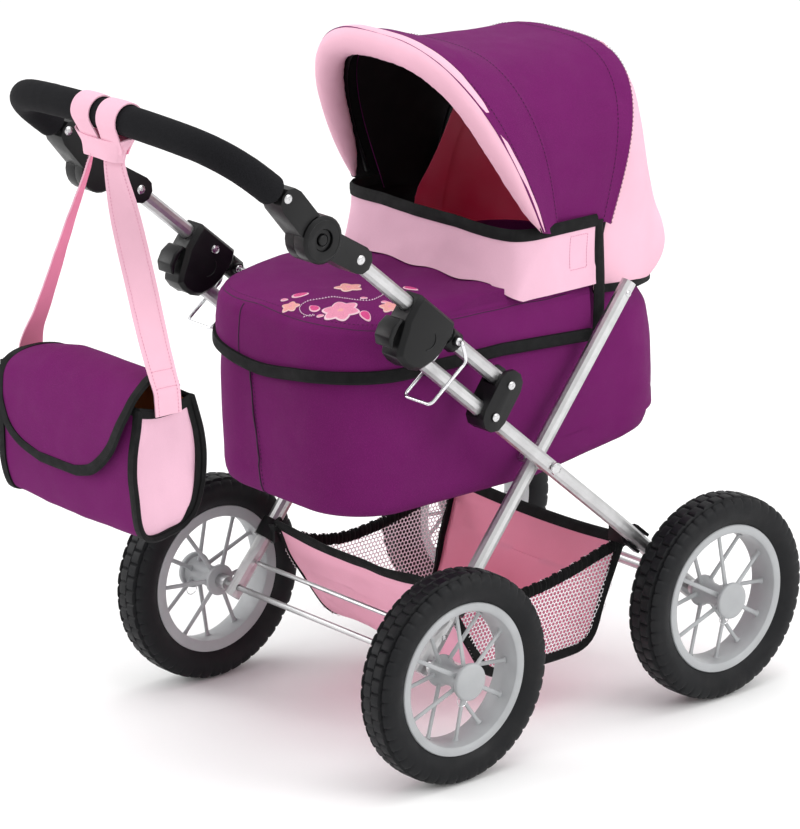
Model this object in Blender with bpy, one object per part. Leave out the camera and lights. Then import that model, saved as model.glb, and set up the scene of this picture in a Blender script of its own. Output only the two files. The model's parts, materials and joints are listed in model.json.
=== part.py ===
"""Doll stroller: folding X frame, carrycot with hood, tilting handle, basket and shoulder bag.

Metres, +Z up, +Y towards the hood end (the way it is pushed), +X to its right-hand side.
Positions are written from the middle of the wheelbase, on the floor. STROLLER_Y moves them all
so that the world origin is under the middle of the whole object.
"""

import math

import bmesh
import bpy
from mathutils import Vector

# Driving dimensions
STROLLER_Y = 0.0855
GAP = 0.0003
SIDES = {"right": 1, "left": -1}

WHEEL_RADIUS = 0.0875
AXLE_Y = 0.1445
TYRE_FACETS = 32
TYRE_INNER_X = 0.1395
TYRE_OUTER_X = 0.1735
RIM_RADIUS = 0.0634
AXLE_ROD = 0.0025
AXLE_BORE = 0.0029

TUBE = 0.0065
TUBE_BORE = 0.0068
LEG_X = 0.1363
LEG_SLOPE = math.atan(0.8475)
REAR_LEG_BOTTOM = Vector((0.1195, -0.1486, 0.0800))
REAR_LEG_TOP = Vector((0.1168, 0.0777, 0.3620))
CROSS_PIVOT = Vector((0, -0.0253, 0.2314))
HANDLE_PIVOT = Vector((0, -0.0780, 0.3128))
CLIP_PIVOT = Vector((0, -0.1333, 0.3599))
LEG_OFFSET = 0.0283

KNUCKLE = Vector((0, -0.2710, 0.4670))
KNUCKLE_RADIUS = 0.0190
LOWER_RIVET = Vector((0, -0.2325, 0.4441))
UPPER_RIVET = Vector((0, -0.3035, 0.5045))
GRIP_RISE = math.radians(39)
GRIP_TUBE = 0.0066
FOAM = 0.0122
CROSSBAR = 0.0750

HOOD_PIVOT = Vector((0, 0.0350, 0.3150))
HOOD_SKIN = 0.0030
COT_HALF = 0.1020
COT_BACK = -0.2050
COT_FRONT = 0.1500
COT_BOTTOM = 0.2060
COT_BAND = 0.3280

BAG_LEFT = -0.1000
BAG_RIGHT = 0.0790
BAG_BACK = -0.3970
BAG_FRONT = -0.3270
LOOP_SWING_Z = 0.5160
STRAP = 0.0010

# Side-view directions: up the handle tubes, at right angles below them, up the grip and over it.
UP_TUBE = Vector((0, -math.cos(LEG_SLOPE), math.sin(LEG_SLOPE)))
UNDER = Vector((0, -math.sin(LEG_SLOPE), -math.cos(LEG_SLOPE)))
UP_GRIP = Vector((0, -math.cos(GRIP_RISE), math.sin(GRIP_RISE)))
OVER_GRIP = Vector((0, math.sin(GRIP_RISE), math.cos(GRIP_RISE)))
X_AXIS = Vector((1, 0, 0))

FINISHES = {
    "steel": ((0.62, 0.62, 0.63), 0.35, 1.0),
    "chrome": ((0.80, 0.80, 0.82), 0.12, 1.0),
    "black_plastic": ((0.03, 0.03, 0.035), 0.50, 0.0),
    "grey_plastic": ((0.42, 0.43, 0.44), 0.45, 0.0),
    "rubber": ((0.025, 0.025, 0.027), 0.75, 0.0),
    "foam": ((0.012, 0.012, 0.013), 0.90, 0.0),
    "purple": ((0.14, 0.015, 0.13), 0.85, 0.0),
    "pink": ((0.85, 0.42, 0.58), 0.85, 0.0),
    "board": ((0.55, 0.50, 0.45), 0.80, 0.0),
}


# Scene and helpers


def clear_scene():
    for old in list(bpy.data.objects):
        bpy.data.objects.remove(old, do_unlink=True)


def empty(name, place, parent=None):
    """An empty on a joint's axis. Its place is measured from the middle of the wheelbase."""
    made = bpy.data.objects.new(name, None)
    made.empty_display_size = 0.02
    made["place"] = tuple(place)
    base = Vector(parent["place"]) if parent else Vector((0, 0, 0))
    made.location = Vector(place) - base
    made.parent = parent
    bpy.context.scene.collection.objects.link(made)
    return made


def material(name, finish):
    colour, roughness, metallic = FINISHES[finish]
    made = bpy.data.materials.new(name)
    made.use_nodes = True
    shader = made.node_tree.nodes["Principled BSDF"]
    shader.inputs["Base Color"].default_value = (*colour, 1)
    shader.inputs["Roughness"].default_value = roughness
    shader.inputs["Metallic"].default_value = metallic
    return made


def node(name, shape, finish, pivot, smooth=True):
    """A named piece, whose origin is its pivot's place."""
    bmesh.ops.translate(shape, verts=shape.verts, vec=-Vector(pivot["place"]))
    mesh = bpy.data.meshes.new(name)
    shape.to_mesh(mesh)
    shape.free()
    mesh.materials.append(material(name, finish))
    if smooth:
        mesh.shade_smooth()
        mesh.set_sharp_from_angle(angle=math.radians(35))
    made = bpy.data.objects.new(name, mesh)
    made.parent = pivot
    bpy.context.scene.collection.objects.link(made)
    return made


def loft(rings, closed=False):
    """A skin over rings of equal count. Its ends are capped, or joined to each other."""
    shape = bmesh.new()
    rows = [[shape.verts.new(point) for point in ring] for ring in rings]
    spans = list(zip(rows, rows[1:]))
    if closed:
        spans.append((rows[-1], rows[0]))
    else:
        shape.faces.new(rows[0])
        shape.faces.new(rows[-1])
    for low, high in spans:
        for i in range(len(low)):
            j = (i + 1) % len(low)
            shape.faces.new((low[i], low[j], high[j], high[i]))
    bmesh.ops.recalc_face_normals(shape, faces=shape.faces)
    return shape


def mirrored(shape, side):
    """The same shape on the right (side 1) or turned over to the left (side -1)."""
    bmesh.ops.scale(shape, vec=(side, 1, 1), verts=shape.verts)
    bmesh.ops.recalc_face_normals(shape, faces=shape.faces)
    return shape


def helper(shape):
    mesh = bpy.data.meshes.new("helper")
    shape.to_mesh(mesh)
    shape.free()
    made = bpy.data.objects.new("helper", mesh)
    bpy.context.scene.collection.objects.link(made)
    return made


def combined(base, join=(), cut=()):
    """One closed body: base with other shapes joined to it, then with others cut away."""
    body = helper(base)
    steps = [(shape, "UNION") for shape in join] + [(shape, "DIFFERENCE") for shape in cut]
    helpers = [body]
    for shape, operation in steps:
        other = helper(shape)
        helpers.append(other)
        modifier = body.modifiers.new(operation, "BOOLEAN")
        modifier.object = other
        modifier.operation = operation
    graph = bpy.context.evaluated_depsgraph_get()
    mesh = bpy.data.meshes.new_from_object(body.evaluated_get(graph))
    result = bmesh.new()
    result.from_mesh(mesh)
    for used in helpers:
        bpy.data.objects.remove(used, do_unlink=True)
    return result


def ellipse(centre, u, v, ru, rv, sides, phase=0.0):
    turns = [phase + 2 * math.pi * i / sides for i in range(sides)]
    return [centre + u * (ru * math.cos(t)) + v * (rv * math.sin(t)) for t in turns]


def path_rings(path, radii, sides, across=X_AXIS):
    """Rings square to a path. A radius is a number, or a pair: along across and at right angles."""
    rings = []
    for i, point in enumerate(path):
        before = path[max(i - 1, 0)]
        after = path[min(i + 1, len(path) - 1)]
        way = (Vector(after) - Vector(before)).normalized()
        u = (across - way * across.dot(way)).normalized()
        v = way.cross(u)
        radius = radii[i] if isinstance(radii, list) else radii
        ru, rv = radius if isinstance(radius, tuple) else (radius, radius)
        rings.append(ellipse(Vector(point), u, v, ru, rv, sides))
    return rings


def rod(path, radii, sides=12, across=X_AXIS):
    return loft(path_rings(path, radii, sides, across))


def pin(x0, x1, centre, radius, sides=12):
    """A round bar along X through centre, from x0 to x1."""
    ends = [Vector((x0, centre.y, centre.z)), Vector((x1, centre.y, centre.z))]
    return rod(ends, radius, sides, across=Vector((0, 1, 0)))


def turned(profile, centre, sides, closed=False, phase=0.0):
    """A shape turned about X through centre. The profile lists (x, radius)."""
    y, z = Vector((0, 1, 0)), Vector((0, 0, 1))
    rings = [ellipse(Vector((x, centre.y, centre.z)), y, z, r, r, sides, phase) for x, r in profile]
    return loft(rings, closed)


def prism(outline, x0, x1):
    """An outline of points in the side view, drawn out from x0 to x1."""
    return loft([[Vector((x, p.y, p.z)) for p in outline] for x in (x0, x1)])


def block(low, high):
    x0, y0, z0 = low
    x1, y1, z1 = high
    corners = [(x0, y0), (x1, y0), (x1, y1), (x0, y1)]
    return loft([[Vector((x, y, z)) for x, y in corners] for z in (z0, z1)])


def tube_frame(origin, along, under):
    """The point of the side view that lies along and under a handle tube from origin."""
    return origin + UP_TUBE * along + UNDER * under


def rounded_bar(start, end, radius, steps=5):
    """The outline of a bar with round ends, in the side view."""
    way = (end - start).normalized()
    side = X_AXIS.cross(way)
    points = []
    for centre, turn in ((end, 0.0), (start, math.pi)):
        for i in range(steps + 1):
            t = turn - math.pi / 2 + math.pi * i / steps
            points.append(centre + way * (radius * math.cos(t)) + side * (radius * math.sin(t)))
    return points


def plan_ring(left, right, back, front, corner, height, steps=4):
    """A rounded rectangle seen from above. height is a number or a function of (x, y)."""
    level = height if callable(height) else lambda x, y: height
    ring = []
    places = (
        (right - corner, back + corner, -0.5),
        (right - corner, front - corner, 0.0),
        (left + corner, front - corner, 0.5),
        (left + corner, back + corner, 1.0),
    )
    for cx, cy, quarter in places:
        for i in range(steps + 1):
            t = math.pi * (quarter + 0.5 * i / steps)
            x, y = cx + corner * math.cos(t), cy + corner * math.sin(t)
            ring.append(Vector((x, y, level(x, y))))
    return ring


# Wheels


def tyre_shape(centre):
    """The tread is flat across, with a facet at the bottom, so that it rests on the floor."""
    profile = (
        (TYRE_INNER_X + 0.0050, WHEEL_RADIUS),
        (TYRE_OUTER_X - 0.0050, WHEEL_RADIUS),
        (TYRE_OUTER_X, 0.0780),
        (TYRE_OUTER_X - 0.0047, RIM_RADIUS + GAP),
        (TYRE_INNER_X + 0.0047, RIM_RADIUS + GAP),
        (TYRE_INNER_X, 0.0780),
    )
    half_facet = math.pi / TYRE_FACETS
    profile = [(x, r / math.cos(half_facet)) for x, r in profile]
    return turned(profile, centre, TYRE_FACETS, closed=True, phase=half_facet)


def wheel_shape(centre):
    """Rim, hub and twelve spokes, six to each end of the hub, as one moulding."""
    half_facet = math.pi / TYRE_FACETS
    rim_profile = [
        (0.1445, RIM_RADIUS),
        (0.1685, RIM_RADIUS),
        (0.1685, 0.0560),
        (0.1640, 0.0535),
        (0.1445, 0.0535),
    ]
    rim = turned(rim_profile, centre, TYRE_FACETS, closed=True, phase=half_facet)
    hub_profile = [
        (0.1398, 0.0130),
        (0.1560, 0.0085),
        (0.1690, 0.0100),
        (0.1725, 0.0125),
        (0.1725, AXLE_BORE),
        (0.1398, AXLE_BORE),
    ]
    hub = turned(hub_profile, centre, 12, closed=True)
    spokes = []
    for i in range(12):
        turn = 2 * math.pi * i / 12
        way = Vector((0, math.cos(turn), math.sin(turn)))
        at_hub = Vector((0.1690 if i % 2 else 0.1450, centre.y, centre.z)) + way * 0.0070
        at_rim = Vector((0.1570, centre.y, centre.z)) + way * 0.0555
        spokes.append(rod([at_hub, at_rim], 0.0018, 5))
    return combined(rim, join=[hub, *spokes])


def cap_shape(centre):
    """A push-on cap with a blind hole for the axle's end."""
    profile = [
        (0.1760, AXLE_BORE),
        (0.1728, AXLE_BORE),
        (0.1728, 0.0150),
        (0.1765, 0.0155),
        (0.1779, 0.0140),
    ]
    return turned(profile, centre, 16)


def make_wheel(place, side_name, y, pivot):
    side = SIDES[side_name]
    centre = Vector((0, y, WHEEL_RADIUS))
    name = f"{place}_{side_name}"
    node(f"tyre_{name}", mirrored(tyre_shape(centre), side), "rubber", pivot)
    node(f"wheel_{name}", mirrored(wheel_shape(centre), side), "grey_plastic", pivot)
    node(f"axle_cap_{name}", mirrored(cap_shape(centre), side), "grey_plastic", pivot)


# Frame


def leg_line(y):
    """Height of the front legs' centre line."""
    return WHEEL_RADIUS - (y - AXLE_Y) * math.tan(LEG_SLOPE)


def axle(y):
    """An axle rod with a nut against the inner end of each hub."""
    half = [
        (0.1755, AXLE_ROD),
        (0.1394, AXLE_ROD),
        (0.1394, 0.0060),
        (0.1296, 0.0060),
        (0.1296, AXLE_ROD),
    ]
    profile = [(-x, r) for x, r in half] + [(x, r) for x, r in reversed(half)]
    return turned(profile, Vector((0, y, WHEEL_RADIUS)), 12)


def front_leg(side):
    """One tube from the lock down through the crossing, bent inwards to the axle and flattened there."""
    tip = tube_frame(CLIP_PIVOT, 0.0300, LEG_OFFSET)
    path = [Vector((LEG_X, tip.y, tip.z))]
    bend = ((LEG_X, 0.0500), (0.1355, 0.0650), (0.1320, 0.0850))
    flat = ((0.1245, 0.1150), (0.1222, 0.1300), (0.1215, 0.1510))
    path += [Vector((x, y, leg_line(y))) for x, y in bend + flat]
    radii = [TUBE, TUBE, TUBE, TUBE, (0.0056, 0.0075), (0.0048, 0.0084), (0.0048, 0.0084)]
    holes = [
        pin(0.10, 0.15, Vector((0, AXLE_Y, WHEEL_RADIUS)), AXLE_BORE),
        pin(0.12, 0.15, CROSS_PIVOT, AXLE_BORE),
    ]
    return mirrored(combined(rod(path, radii, 12), cut=holes), side)


def rear_leg(side):
    """One straight tube, flattened at the axle, with a hole at each pivot."""
    way = (REAR_LEG_TOP - REAR_LEG_BOTTOM).normalized()
    path = [REAR_LEG_BOTTOM, REAR_LEG_BOTTOM + way * 0.0300, REAR_LEG_BOTTOM + way * 0.0450, REAR_LEG_TOP]
    radii = [(0.0050, 0.0080), (0.0050, 0.0080), TUBE, TUBE]
    holes = [
        pin(0.10, 0.15, Vector((0, -AXLE_Y, WHEEL_RADIUS)), AXLE_BORE),
        pin(0.10, 0.15, CROSS_PIVOT, AXLE_BORE),
    ]
    return mirrored(combined(rod(path, radii, 12), cut=holes), side)


def brace(y, z, half):
    return pin(-half, half, Vector((0, y, z)), 0.0020, 8)


def cross_rivet(side):
    """The rivet of the crossing: a head outside, a spacer between the two legs and a stud to the cot."""
    profile = [
        (0.1034, 0.0045),
        (0.1098, 0.0045),
        (0.1098, AXLE_ROD),
        (0.1252, AXLE_ROD),
        (0.1252, 0.0055),
        (0.1291, 0.0055),
        (0.1291, AXLE_ROD),
        (0.1434, AXLE_ROD),
        (0.1434, 0.0055),
        (0.1448, 0.0050),
        (0.1454, 0.0030),
    ]
    return mirrored(turned(profile, CROSS_PIVOT, 12), side)


def bracket(side):
    """Black block riveted to the front leg. The handle tube's lower end turns between its cheeks."""
    upper = tube_frame(CLIP_PIVOT, -0.0730, 0.0)
    lower = tube_frame(CLIP_PIVOT, -0.0750, LEG_OFFSET)
    outline = rounded_bar(lower, upper, 0.0125)
    leg_bore = rod([tube_frame(lower, s, 0) + X_AXIS * LEG_X for s in (-0.05, 0.05)], TUBE_BORE, 12)
    slot_points = [(-0.0200, -0.0300), (0.0300, -0.0300), (0.0300, 0.0072), (-0.0200, 0.0072)]
    slot = prism([tube_frame(upper, a, p) for a, p in slot_points], LEG_X - 0.0070, LEG_X + 0.0070)
    body = combined(prism(outline, 0.1265, 0.1475), cut=[leg_bore, slot])
    rivets = [pin(0.1255, 0.1488, HANDLE_PIVOT, AXLE_ROD), pin(0.1430, 0.1488, lower, 0.0040)]
    return mirrored(combined(body, join=rivets), side)


def basket_clip(centre, way, side, outer_x):
    """A saddle on a leg tube, open beyond outer_x, with a lug that takes the basket's corner."""
    sides = 10
    sleeve = rod([centre - way * 0.0085, centre + way * 0.0085], 0.0098, sides)
    half = Vector((0, 0.0050, 0.0070))
    lug = block(Vector((0.1055, centre.y, centre.z)) - half, centre - X_AXIS * 0.0050 + half)
    bore = rod([centre - way * 0.05, centre + way * 0.05], TUBE_BORE + 0.0005, sides)
    room = Vector((0, 0.0300, 0.0300))
    outside = block(Vector((outer_x, centre.y, centre.z)) - room, Vector((0.20, centre.y, centre.z)) + room)
    return mirrored(combined(sleeve, join=[lug], cut=[bore, outside]), side)


def make_frame(chassis, rear_frame):
    for side_name, side in SIDES.items():
        node(f"front_leg_{side_name}", front_leg(side), "steel", chassis)
        node(f"rear_leg_{side_name}", rear_leg(side), "steel", rear_frame)
        node(f"handle_bracket_{side_name}", bracket(side), "black_plastic", chassis)
        node(f"cross_rivet_{side_name}", cross_rivet(side), "steel", chassis)
        front = Vector((0.1340, 0.0745, leg_line(0.0745)))
        front_way = Vector((-0.0020, 0.0150, -0.0150 * math.tan(LEG_SLOPE))).normalized()
        front_clip = basket_clip(front, front_way, side, 0.1360)
        node(f"front_basket_clip_{side_name}", front_clip, "black_plastic", chassis)
        rear_way = (REAR_LEG_TOP - REAR_LEG_BOTTOM).normalized()
        rear = REAR_LEG_BOTTOM + rear_way * 0.0640
        rear_clip = basket_clip(rear, rear_way, side, 0.1300)
        node(f"rear_basket_clip_{side_name}", rear_clip, "black_plastic", rear_frame)
    node("front_axle", axle(AXLE_Y), "steel", chassis)
    node("rear_axle", axle(-AXLE_Y), "steel", rear_frame)
    node("front_brace", brace(0.1255, leg_line(0.1255), 0.1160), "steel", chassis)
    node("rear_brace", brace(-0.1265, 0.1060, 0.1115), "steel", rear_frame)


# Handle


def handle_tube(side):
    low = tube_frame(CLIP_PIVOT, -0.0780, 0.0)
    high = LOWER_RIVET + UP_TUBE * 0.0130
    path = [Vector((LEG_X, p.y, p.z)) for p in (low, high)]
    hole = pin(0.12, 0.15, HANDLE_PIVOT, AXLE_BORE)
    return mirrored(combined(rod(path, TUBE, 12), cut=[hole]), side)


LOCK_OUTLINE = (
    (0.0560, -0.0105),
    (0.0120, -0.0105),
    (0.0085, -0.0040),
    (0.0080, 0.0150),
    (0.0105, 0.0240),
    (0.0150, 0.0320),
    (0.0200, 0.0385),
    (0.0280, 0.0420),
    (0.0380, 0.0427),
    (0.0460, 0.0408),
    (0.0495, 0.0345),
    (0.0545, 0.0200),
    (0.0575, 0.0120),
    (0.0575, -0.0040),
)


def lock_body(side):
    """The lock on the handle tube. A pocket open below takes the front leg's upper end."""
    faces = ((0.1240, 0.0035), (0.1275, 0.0), (0.1450, 0.0), (0.1490, 0.0035))
    middle = (0.0330, 0.0160)
    rings = []
    for x, inset in faces:
        ring = []
        for along, under in LOCK_OUTLINE:
            reach = Vector((along - middle[0], under - middle[1]))
            kept = reach * (1 - inset / reach.length)
            point = tube_frame(CLIP_PIVOT, middle[0] + kept.x, middle[1] + kept.y)
            ring.append(Vector((x, point.y, point.z)))
        rings.append(ring)
    tube_bore = rod([tube_frame(CLIP_PIVOT, s, 0) + X_AXIS * LEG_X for s in (-0.05, 0.10)], TUBE_BORE, 12)
    seat_end = 0.0304
    seat = [tube_frame(CLIP_PIVOT, s, LEG_OFFSET) + X_AXIS * LEG_X for s in (-0.03, seat_end)]
    pocket = [(-0.0300, LEG_OFFSET), (seat_end, LEG_OFFSET), (seat_end, 0.0600), (-0.0300, 0.0600)]
    pocket = prism([tube_frame(CLIP_PIVOT, a, p) for a, p in pocket], LEG_X - 0.0070, LEG_X + 0.0070)
    cutters = [tube_bore, rod(seat, 0.0070, 12), pocket]
    return mirrored(combined(loft(rings), cut=cutters), side)


def lock_lever(side):
    """A finger lever over the lock's upper rear corner, hinged at its top edge."""
    outline = (
        (0.0585, 0.0135),
        (0.0620, 0.0150),
        (0.0645, 0.0240),
        (0.0625, 0.0330),
        (0.0560, 0.0385),
        (0.0540, 0.0370),
        (0.0582, 0.0300),
        (0.0595, 0.0200),
    )
    return mirrored(prism([tube_frame(CLIP_PIVOT, a, p) for a, p in outline], 0.1270, 0.1455), side)


def bail_clip(side):
    """A band round the handle tube with a boss each side for the bail's ends."""
    ends = [tube_frame(CLIP_PIVOT, s, 0) + X_AXIS * LEG_X for s in (-0.0065, 0.0050)]
    boss = pin(LEG_X - 0.0120, LEG_X + 0.0120, CLIP_PIVOT, 0.0045)
    bore = rod([tube_frame(CLIP_PIVOT, s, 0) + X_AXIS * LEG_X for s in (-0.05, 0.05)], TUBE_BORE, 12)
    holes = [pin(LEG_X + s * 0.0085, LEG_X + s * 0.0150, CLIP_PIVOT, 0.0019, 8) for s in (-1, 1)]
    return mirrored(combined(rod(ends, 0.0092, 12), join=[boss], cut=[bore, *holes]), side)


def bail(side):
    """A wire loop that straddles the front leg's end, with both ends turned into the clip."""
    half = [
        (0.0092, 0.0, 0.0),
        (0.0145, 0.0, 0.0),
        (0.0160, -0.0015, 0.0015),
        (0.0160, -0.0110, 0.0080),
        (0.0160, -0.0125, 0.0120),
        (0.0160, -0.0045, 0.0480),
        (0.0145, -0.0038, 0.0530),
        (0.0100, -0.0036, 0.0547),
    ]
    path = [tube_frame(CLIP_PIVOT, a, p) + X_AXIS * (LEG_X + x) for x, a, p in half]
    path += [tube_frame(CLIP_PIVOT, a, p) + X_AXIS * (LEG_X - x) for x, a, p in reversed(half)]
    return mirrored(rod(path, 0.0015, 8, across=Vector((0.3, 1, -0.4)).normalized()), side)


def lower_knuckle(side):
    """Sleeve on the handle tube's end and the outer half of the tilting joint."""
    sleeve = rounded_bar(LOWER_RIVET - UP_TUBE * 0.0010, KNUCKLE, 0.0110)
    sleeve = prism(sleeve, 0.1250, 0.1476)
    disc = turned([(0.1368, KNUCKLE_RADIUS), (0.1485, KNUCKLE_RADIUS), (0.1500, 0.0175)], KNUCKLE, 24)
    stub = pin(0.1270, 0.1380, KNUCKLE, 0.0040)
    room = pin(0.1200, 0.1367, KNUCKLE, KNUCKLE_RADIUS + 0.0006, 24)
    recess = pin(0.1472, 0.1520, KNUCKLE, 0.0090, 16)
    well = pin(0.1400, 0.1520, KNUCKLE, 0.0049)
    bore = [LOWER_RIVET + UP_TUBE * s + X_AXIS * LEG_X for s in (-0.05, 0.0133)]
    body = combined(sleeve, cut=[room, rod(bore, TUBE_BORE, 12)])
    return mirrored(combined(body, join=[disc, stub], cut=[recess, well]), side)


def upper_knuckle(side):
    """Sleeve on the grip's end and the inner half of the tilting joint."""
    sleeve = rounded_bar(UPPER_RIVET - UP_GRIP * 0.0055, KNUCKLE, 0.0112)
    sleeve = prism(sleeve, 0.1250, 0.1476)
    drum = turned([(0.1250, 0.0175), (0.1265, KNUCKLE_RADIUS), (0.1364, KNUCKLE_RADIUS)], KNUCKLE, 24)
    room = pin(0.1365, 0.1550, KNUCKLE, KNUCKLE_RADIUS + 0.0006, 24)
    bore = [UPPER_RIVET + UP_GRIP * s + X_AXIS * LEG_X for s in (-0.0163, 0.05)]
    eye = pin(0.1260, 0.1500, KNUCKLE, 0.0044)
    body = combined(sleeve, cut=[room, rod(bore, GRIP_TUBE + GAP, 12)])
    return mirrored(combined(body, join=[drum], cut=[eye]), side)


def button(side):
    """Push button in the outer disc's well."""
    return mirrored(turned([(0.1435, 0.0045), (0.1488, 0.0045), (0.1496, 0.0036)], KNUCKLE, 12), side)


def grip_path(start):
    """Points of the grip's bow from one knuckle over the crossbar to the other."""
    half = [(LEG_X, start), (LEG_X, 0.0220), (0.1345, 0.0360), (0.1290, 0.0480)]
    half += [(0.1200, 0.0575), (0.1060, 0.0650), (0.0850, 0.0695), (0.0300, CROSSBAR - 0.0005)]
    path = [UPPER_RIVET + UP_GRIP * s + X_AXIS * x for x, s in half]
    return path + [UPPER_RIVET + UP_GRIP * s - X_AXIS * x for x, s in reversed(half)]


def grip_foam():
    """A foam sleeve over the bow, with the tube's own bore through it."""
    path = grip_path(0.0060)
    radii = [FOAM - 0.0010] + [FOAM] * (len(path) - 2) + [FOAM - 0.0010]
    outer = path_rings(path, radii, 12, across=OVER_GRIP)
    inner = path_rings(path, GRIP_TUBE + 0.0004, 12, across=OVER_GRIP)
    return loft(outer + list(reversed(inner)), closed=True)


def make_handle(handle, grip, pivots):
    for side_name, side in SIDES.items():
        node(f"handle_tube_{side_name}", handle_tube(side), "steel", handle)
        node(f"lock_body_{side_name}", lock_body(side), "black_plastic", handle)
        node(f"bail_clip_{side_name}", bail_clip(side), "black_plastic", handle)
        node(f"lower_knuckle_{side_name}", lower_knuckle(side), "black_plastic", handle)
        node(f"lock_lever_{side_name}", lock_lever(side), "black_plastic", pivots[f"lever_{side_name}"])
        node(f"wire_bail_{side_name}", bail(side), "chrome", pivots[f"bail_{side_name}"])
        node(f"tilt_button_{side_name}", button(side), "black_plastic", pivots[f"button_{side_name}"])
        node(f"upper_knuckle_{side_name}", upper_knuckle(side), "black_plastic", grip)
    bow = path_rings(grip_path(-0.0160), GRIP_TUBE, 10, across=OVER_GRIP)
    node("grip_bow", loft(bow), "steel", grip)
    node("grip_foam", grip_foam(), "foam", grip)


# Carrycot and hood


def cot_bottom(lift):
    """The cot's underside rises towards the hood end."""
    return lambda x, y: COT_BOTTOM + lift + 0.019 * max(0.0, y / COT_FRONT)


def cot_tub():
    """Fabric tub over boards: outer wall to the black band, a stepped-in upper wall, and the inside."""
    wall = 0.0030
    outer = [
        plan_ring(-0.090, 0.090, -0.192, 0.148, 0.055, cot_bottom(0.0)),
        plan_ring(-0.097, 0.097, -0.199, 0.157, 0.060, cot_bottom(0.007)),
        plan_ring(-0.100, 0.100, -0.203, 0.158, 0.061, 0.260),
        plan_ring(-COT_HALF, COT_HALF, COT_BACK, COT_FRONT + 0.002, 0.062, COT_BAND),
        plan_ring(-0.0955, 0.0955, COT_BACK + 0.0065, 0.1435, 0.056, COT_BAND + 0.001),
        plan_ring(-0.0955, 0.0955, COT_BACK + 0.0065, 0.1435, 0.056, 0.3660),
    ]
    inner = [
        plan_ring(-0.0955 + wall, 0.0955 - wall, COT_BACK + 0.0065 + wall, 0.1435 - wall, 0.053, 0.3660),
        plan_ring(-0.0925, 0.0925, -0.1955, 0.1405, 0.053, 0.3240),
        plan_ring(-0.0915, 0.0915, -0.1940, 0.1390, 0.052, 0.2450),
        plan_ring(-0.0900, 0.0900, -0.1920, 0.1370, 0.051, cot_bottom(0.0080)),
    ]
    return loft(outer + inner)


def mattress():
    levels = ((0.2340, 0.004), (0.2380, 0.0), (0.2470, 0.0), (0.2510, 0.004))
    return loft([plan_ring(-0.088 + s, 0.088 - s, -0.190 + s, 0.134 - s, 0.050, z) for z, s in levels])


def cot_cover():
    """The apron: a crowned top with a skirt. Its top ends in front of the hood's opening."""
    half = COT_HALF + 0.0008
    back = COT_BACK - 0.0008
    front = 0.1300
    outer = [
        plan_ring(-half, half, back, front, 0.062, COT_BAND + 0.0025),
        plan_ring(-half, half, back, front, 0.062, 0.3560),
        plan_ring(-half + 0.004, half - 0.004, back + 0.004, front, 0.060, 0.3660),
        plan_ring(-half + 0.014, half - 0.014, back + 0.014, front, 0.056, 0.3730),
        plan_ring(-half + 0.045, half - 0.045, back + 0.045, front, 0.040, 0.3765),
    ]
    skin = 0.0030
    inner = [
        plan_ring(-half + 0.045, half - 0.045, back + 0.045, front - skin, 0.040, 0.3735),
        plan_ring(-half + 0.016, half - 0.016, back + 0.016, front - skin, 0.055, 0.3702),
        plan_ring(-half + 0.0065, half - 0.0065, back + 0.0065, front - skin, 0.0575, 0.3664),
        plan_ring(-half + skin, half - skin, back + skin, front - skin, 0.059, 0.3550),
        plan_ring(-half + skin, half - skin, back + skin, front - skin, 0.059, COT_BAND + 0.0025),
    ]
    shape = loft(list(reversed(outer)) + list(reversed(inner)))
    mouth = block((-0.0900, -0.0300, 0.30), (0.0900, 0.15, 0.40))
    end = block((-0.12, 0.0480, 0.30), (0.12, 0.15, 0.40))
    return combined(shape, cut=[mouth, end])


def turned_up_flap():
    """The apron's pink end, turned up to stand across the hood's opening."""
    half = [
        (0.1058, 0.0470),
        (0.1062, 0.0150),
        (0.1054, -0.0120),
        (0.0975, -0.0300),
        (0.0750, -0.0400),
        (0.0400, -0.0450),
    ]
    plan = half + [(0.0, -0.0465)] + [(-x, y) for x, y in reversed(half)]
    thick = 0.0035
    rings = []
    for i, (x, y) in enumerate(plan):
        before, after = plan[max(i - 1, 0)], plan[min(i + 1, len(plan) - 1)]
        way = Vector((after[0] - before[0], after[1] - before[1], 0)).normalized()
        inside = Vector((x, y, 0))
        outside = inside - Vector((way.y, -way.x, 0)) * thick
        low = 0.3640 if abs(x) > 0.1045 else 0.3772
        high = 0.4165
        points = [(inside, low), (outside, low), (outside, high), (inside, high)]
        rings.append([Vector((p.x, p.y, z)) for p, z in points])
    return loft(rings)


def hood_section(turn, half_width, base, top, roundness=0.64, tuck=0.0, steps=16):
    """Points of a cross-section in a plane through the hood's pivot axis, with outward normals.

    The section is narrower by tuck at its base on each side.
    """
    angle = math.radians(turn)
    up = Vector((0, math.cos(angle), math.sin(angle)))
    flat = []
    for i in range(steps + 1):
        t = math.pi * i / steps
        half = half_width - tuck * (1 - math.sin(t)) ** 4
        x = half * math.copysign(abs(math.cos(t)) ** roundness, math.cos(t))
        flat.append(Vector((x, base + (top - base) * math.sin(t) ** roundness)))
    points = []
    for i, p in enumerate(flat):
        before, after = flat[max(i - 1, 0)], flat[min(i + 1, steps)]
        way = (after - before).normalized()
        normal = X_AXIS * way.y + up * -way.x
        points.append((HOOD_PIVOT + X_AXIS * p.x + up * p.y, normal))
    return points


def skin_between(sections, thickness):
    """A curved sheet of even thickness over hood sections, front to rear."""
    rings = []
    for i in range(len(sections[0])):
        outer = [section[i][0] for section in sections]
        inner = [section[i][0] - section[i][1] * thickness for section in reversed(sections)]
        rings.append(outer + inner)
    return loft(rings)


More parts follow.
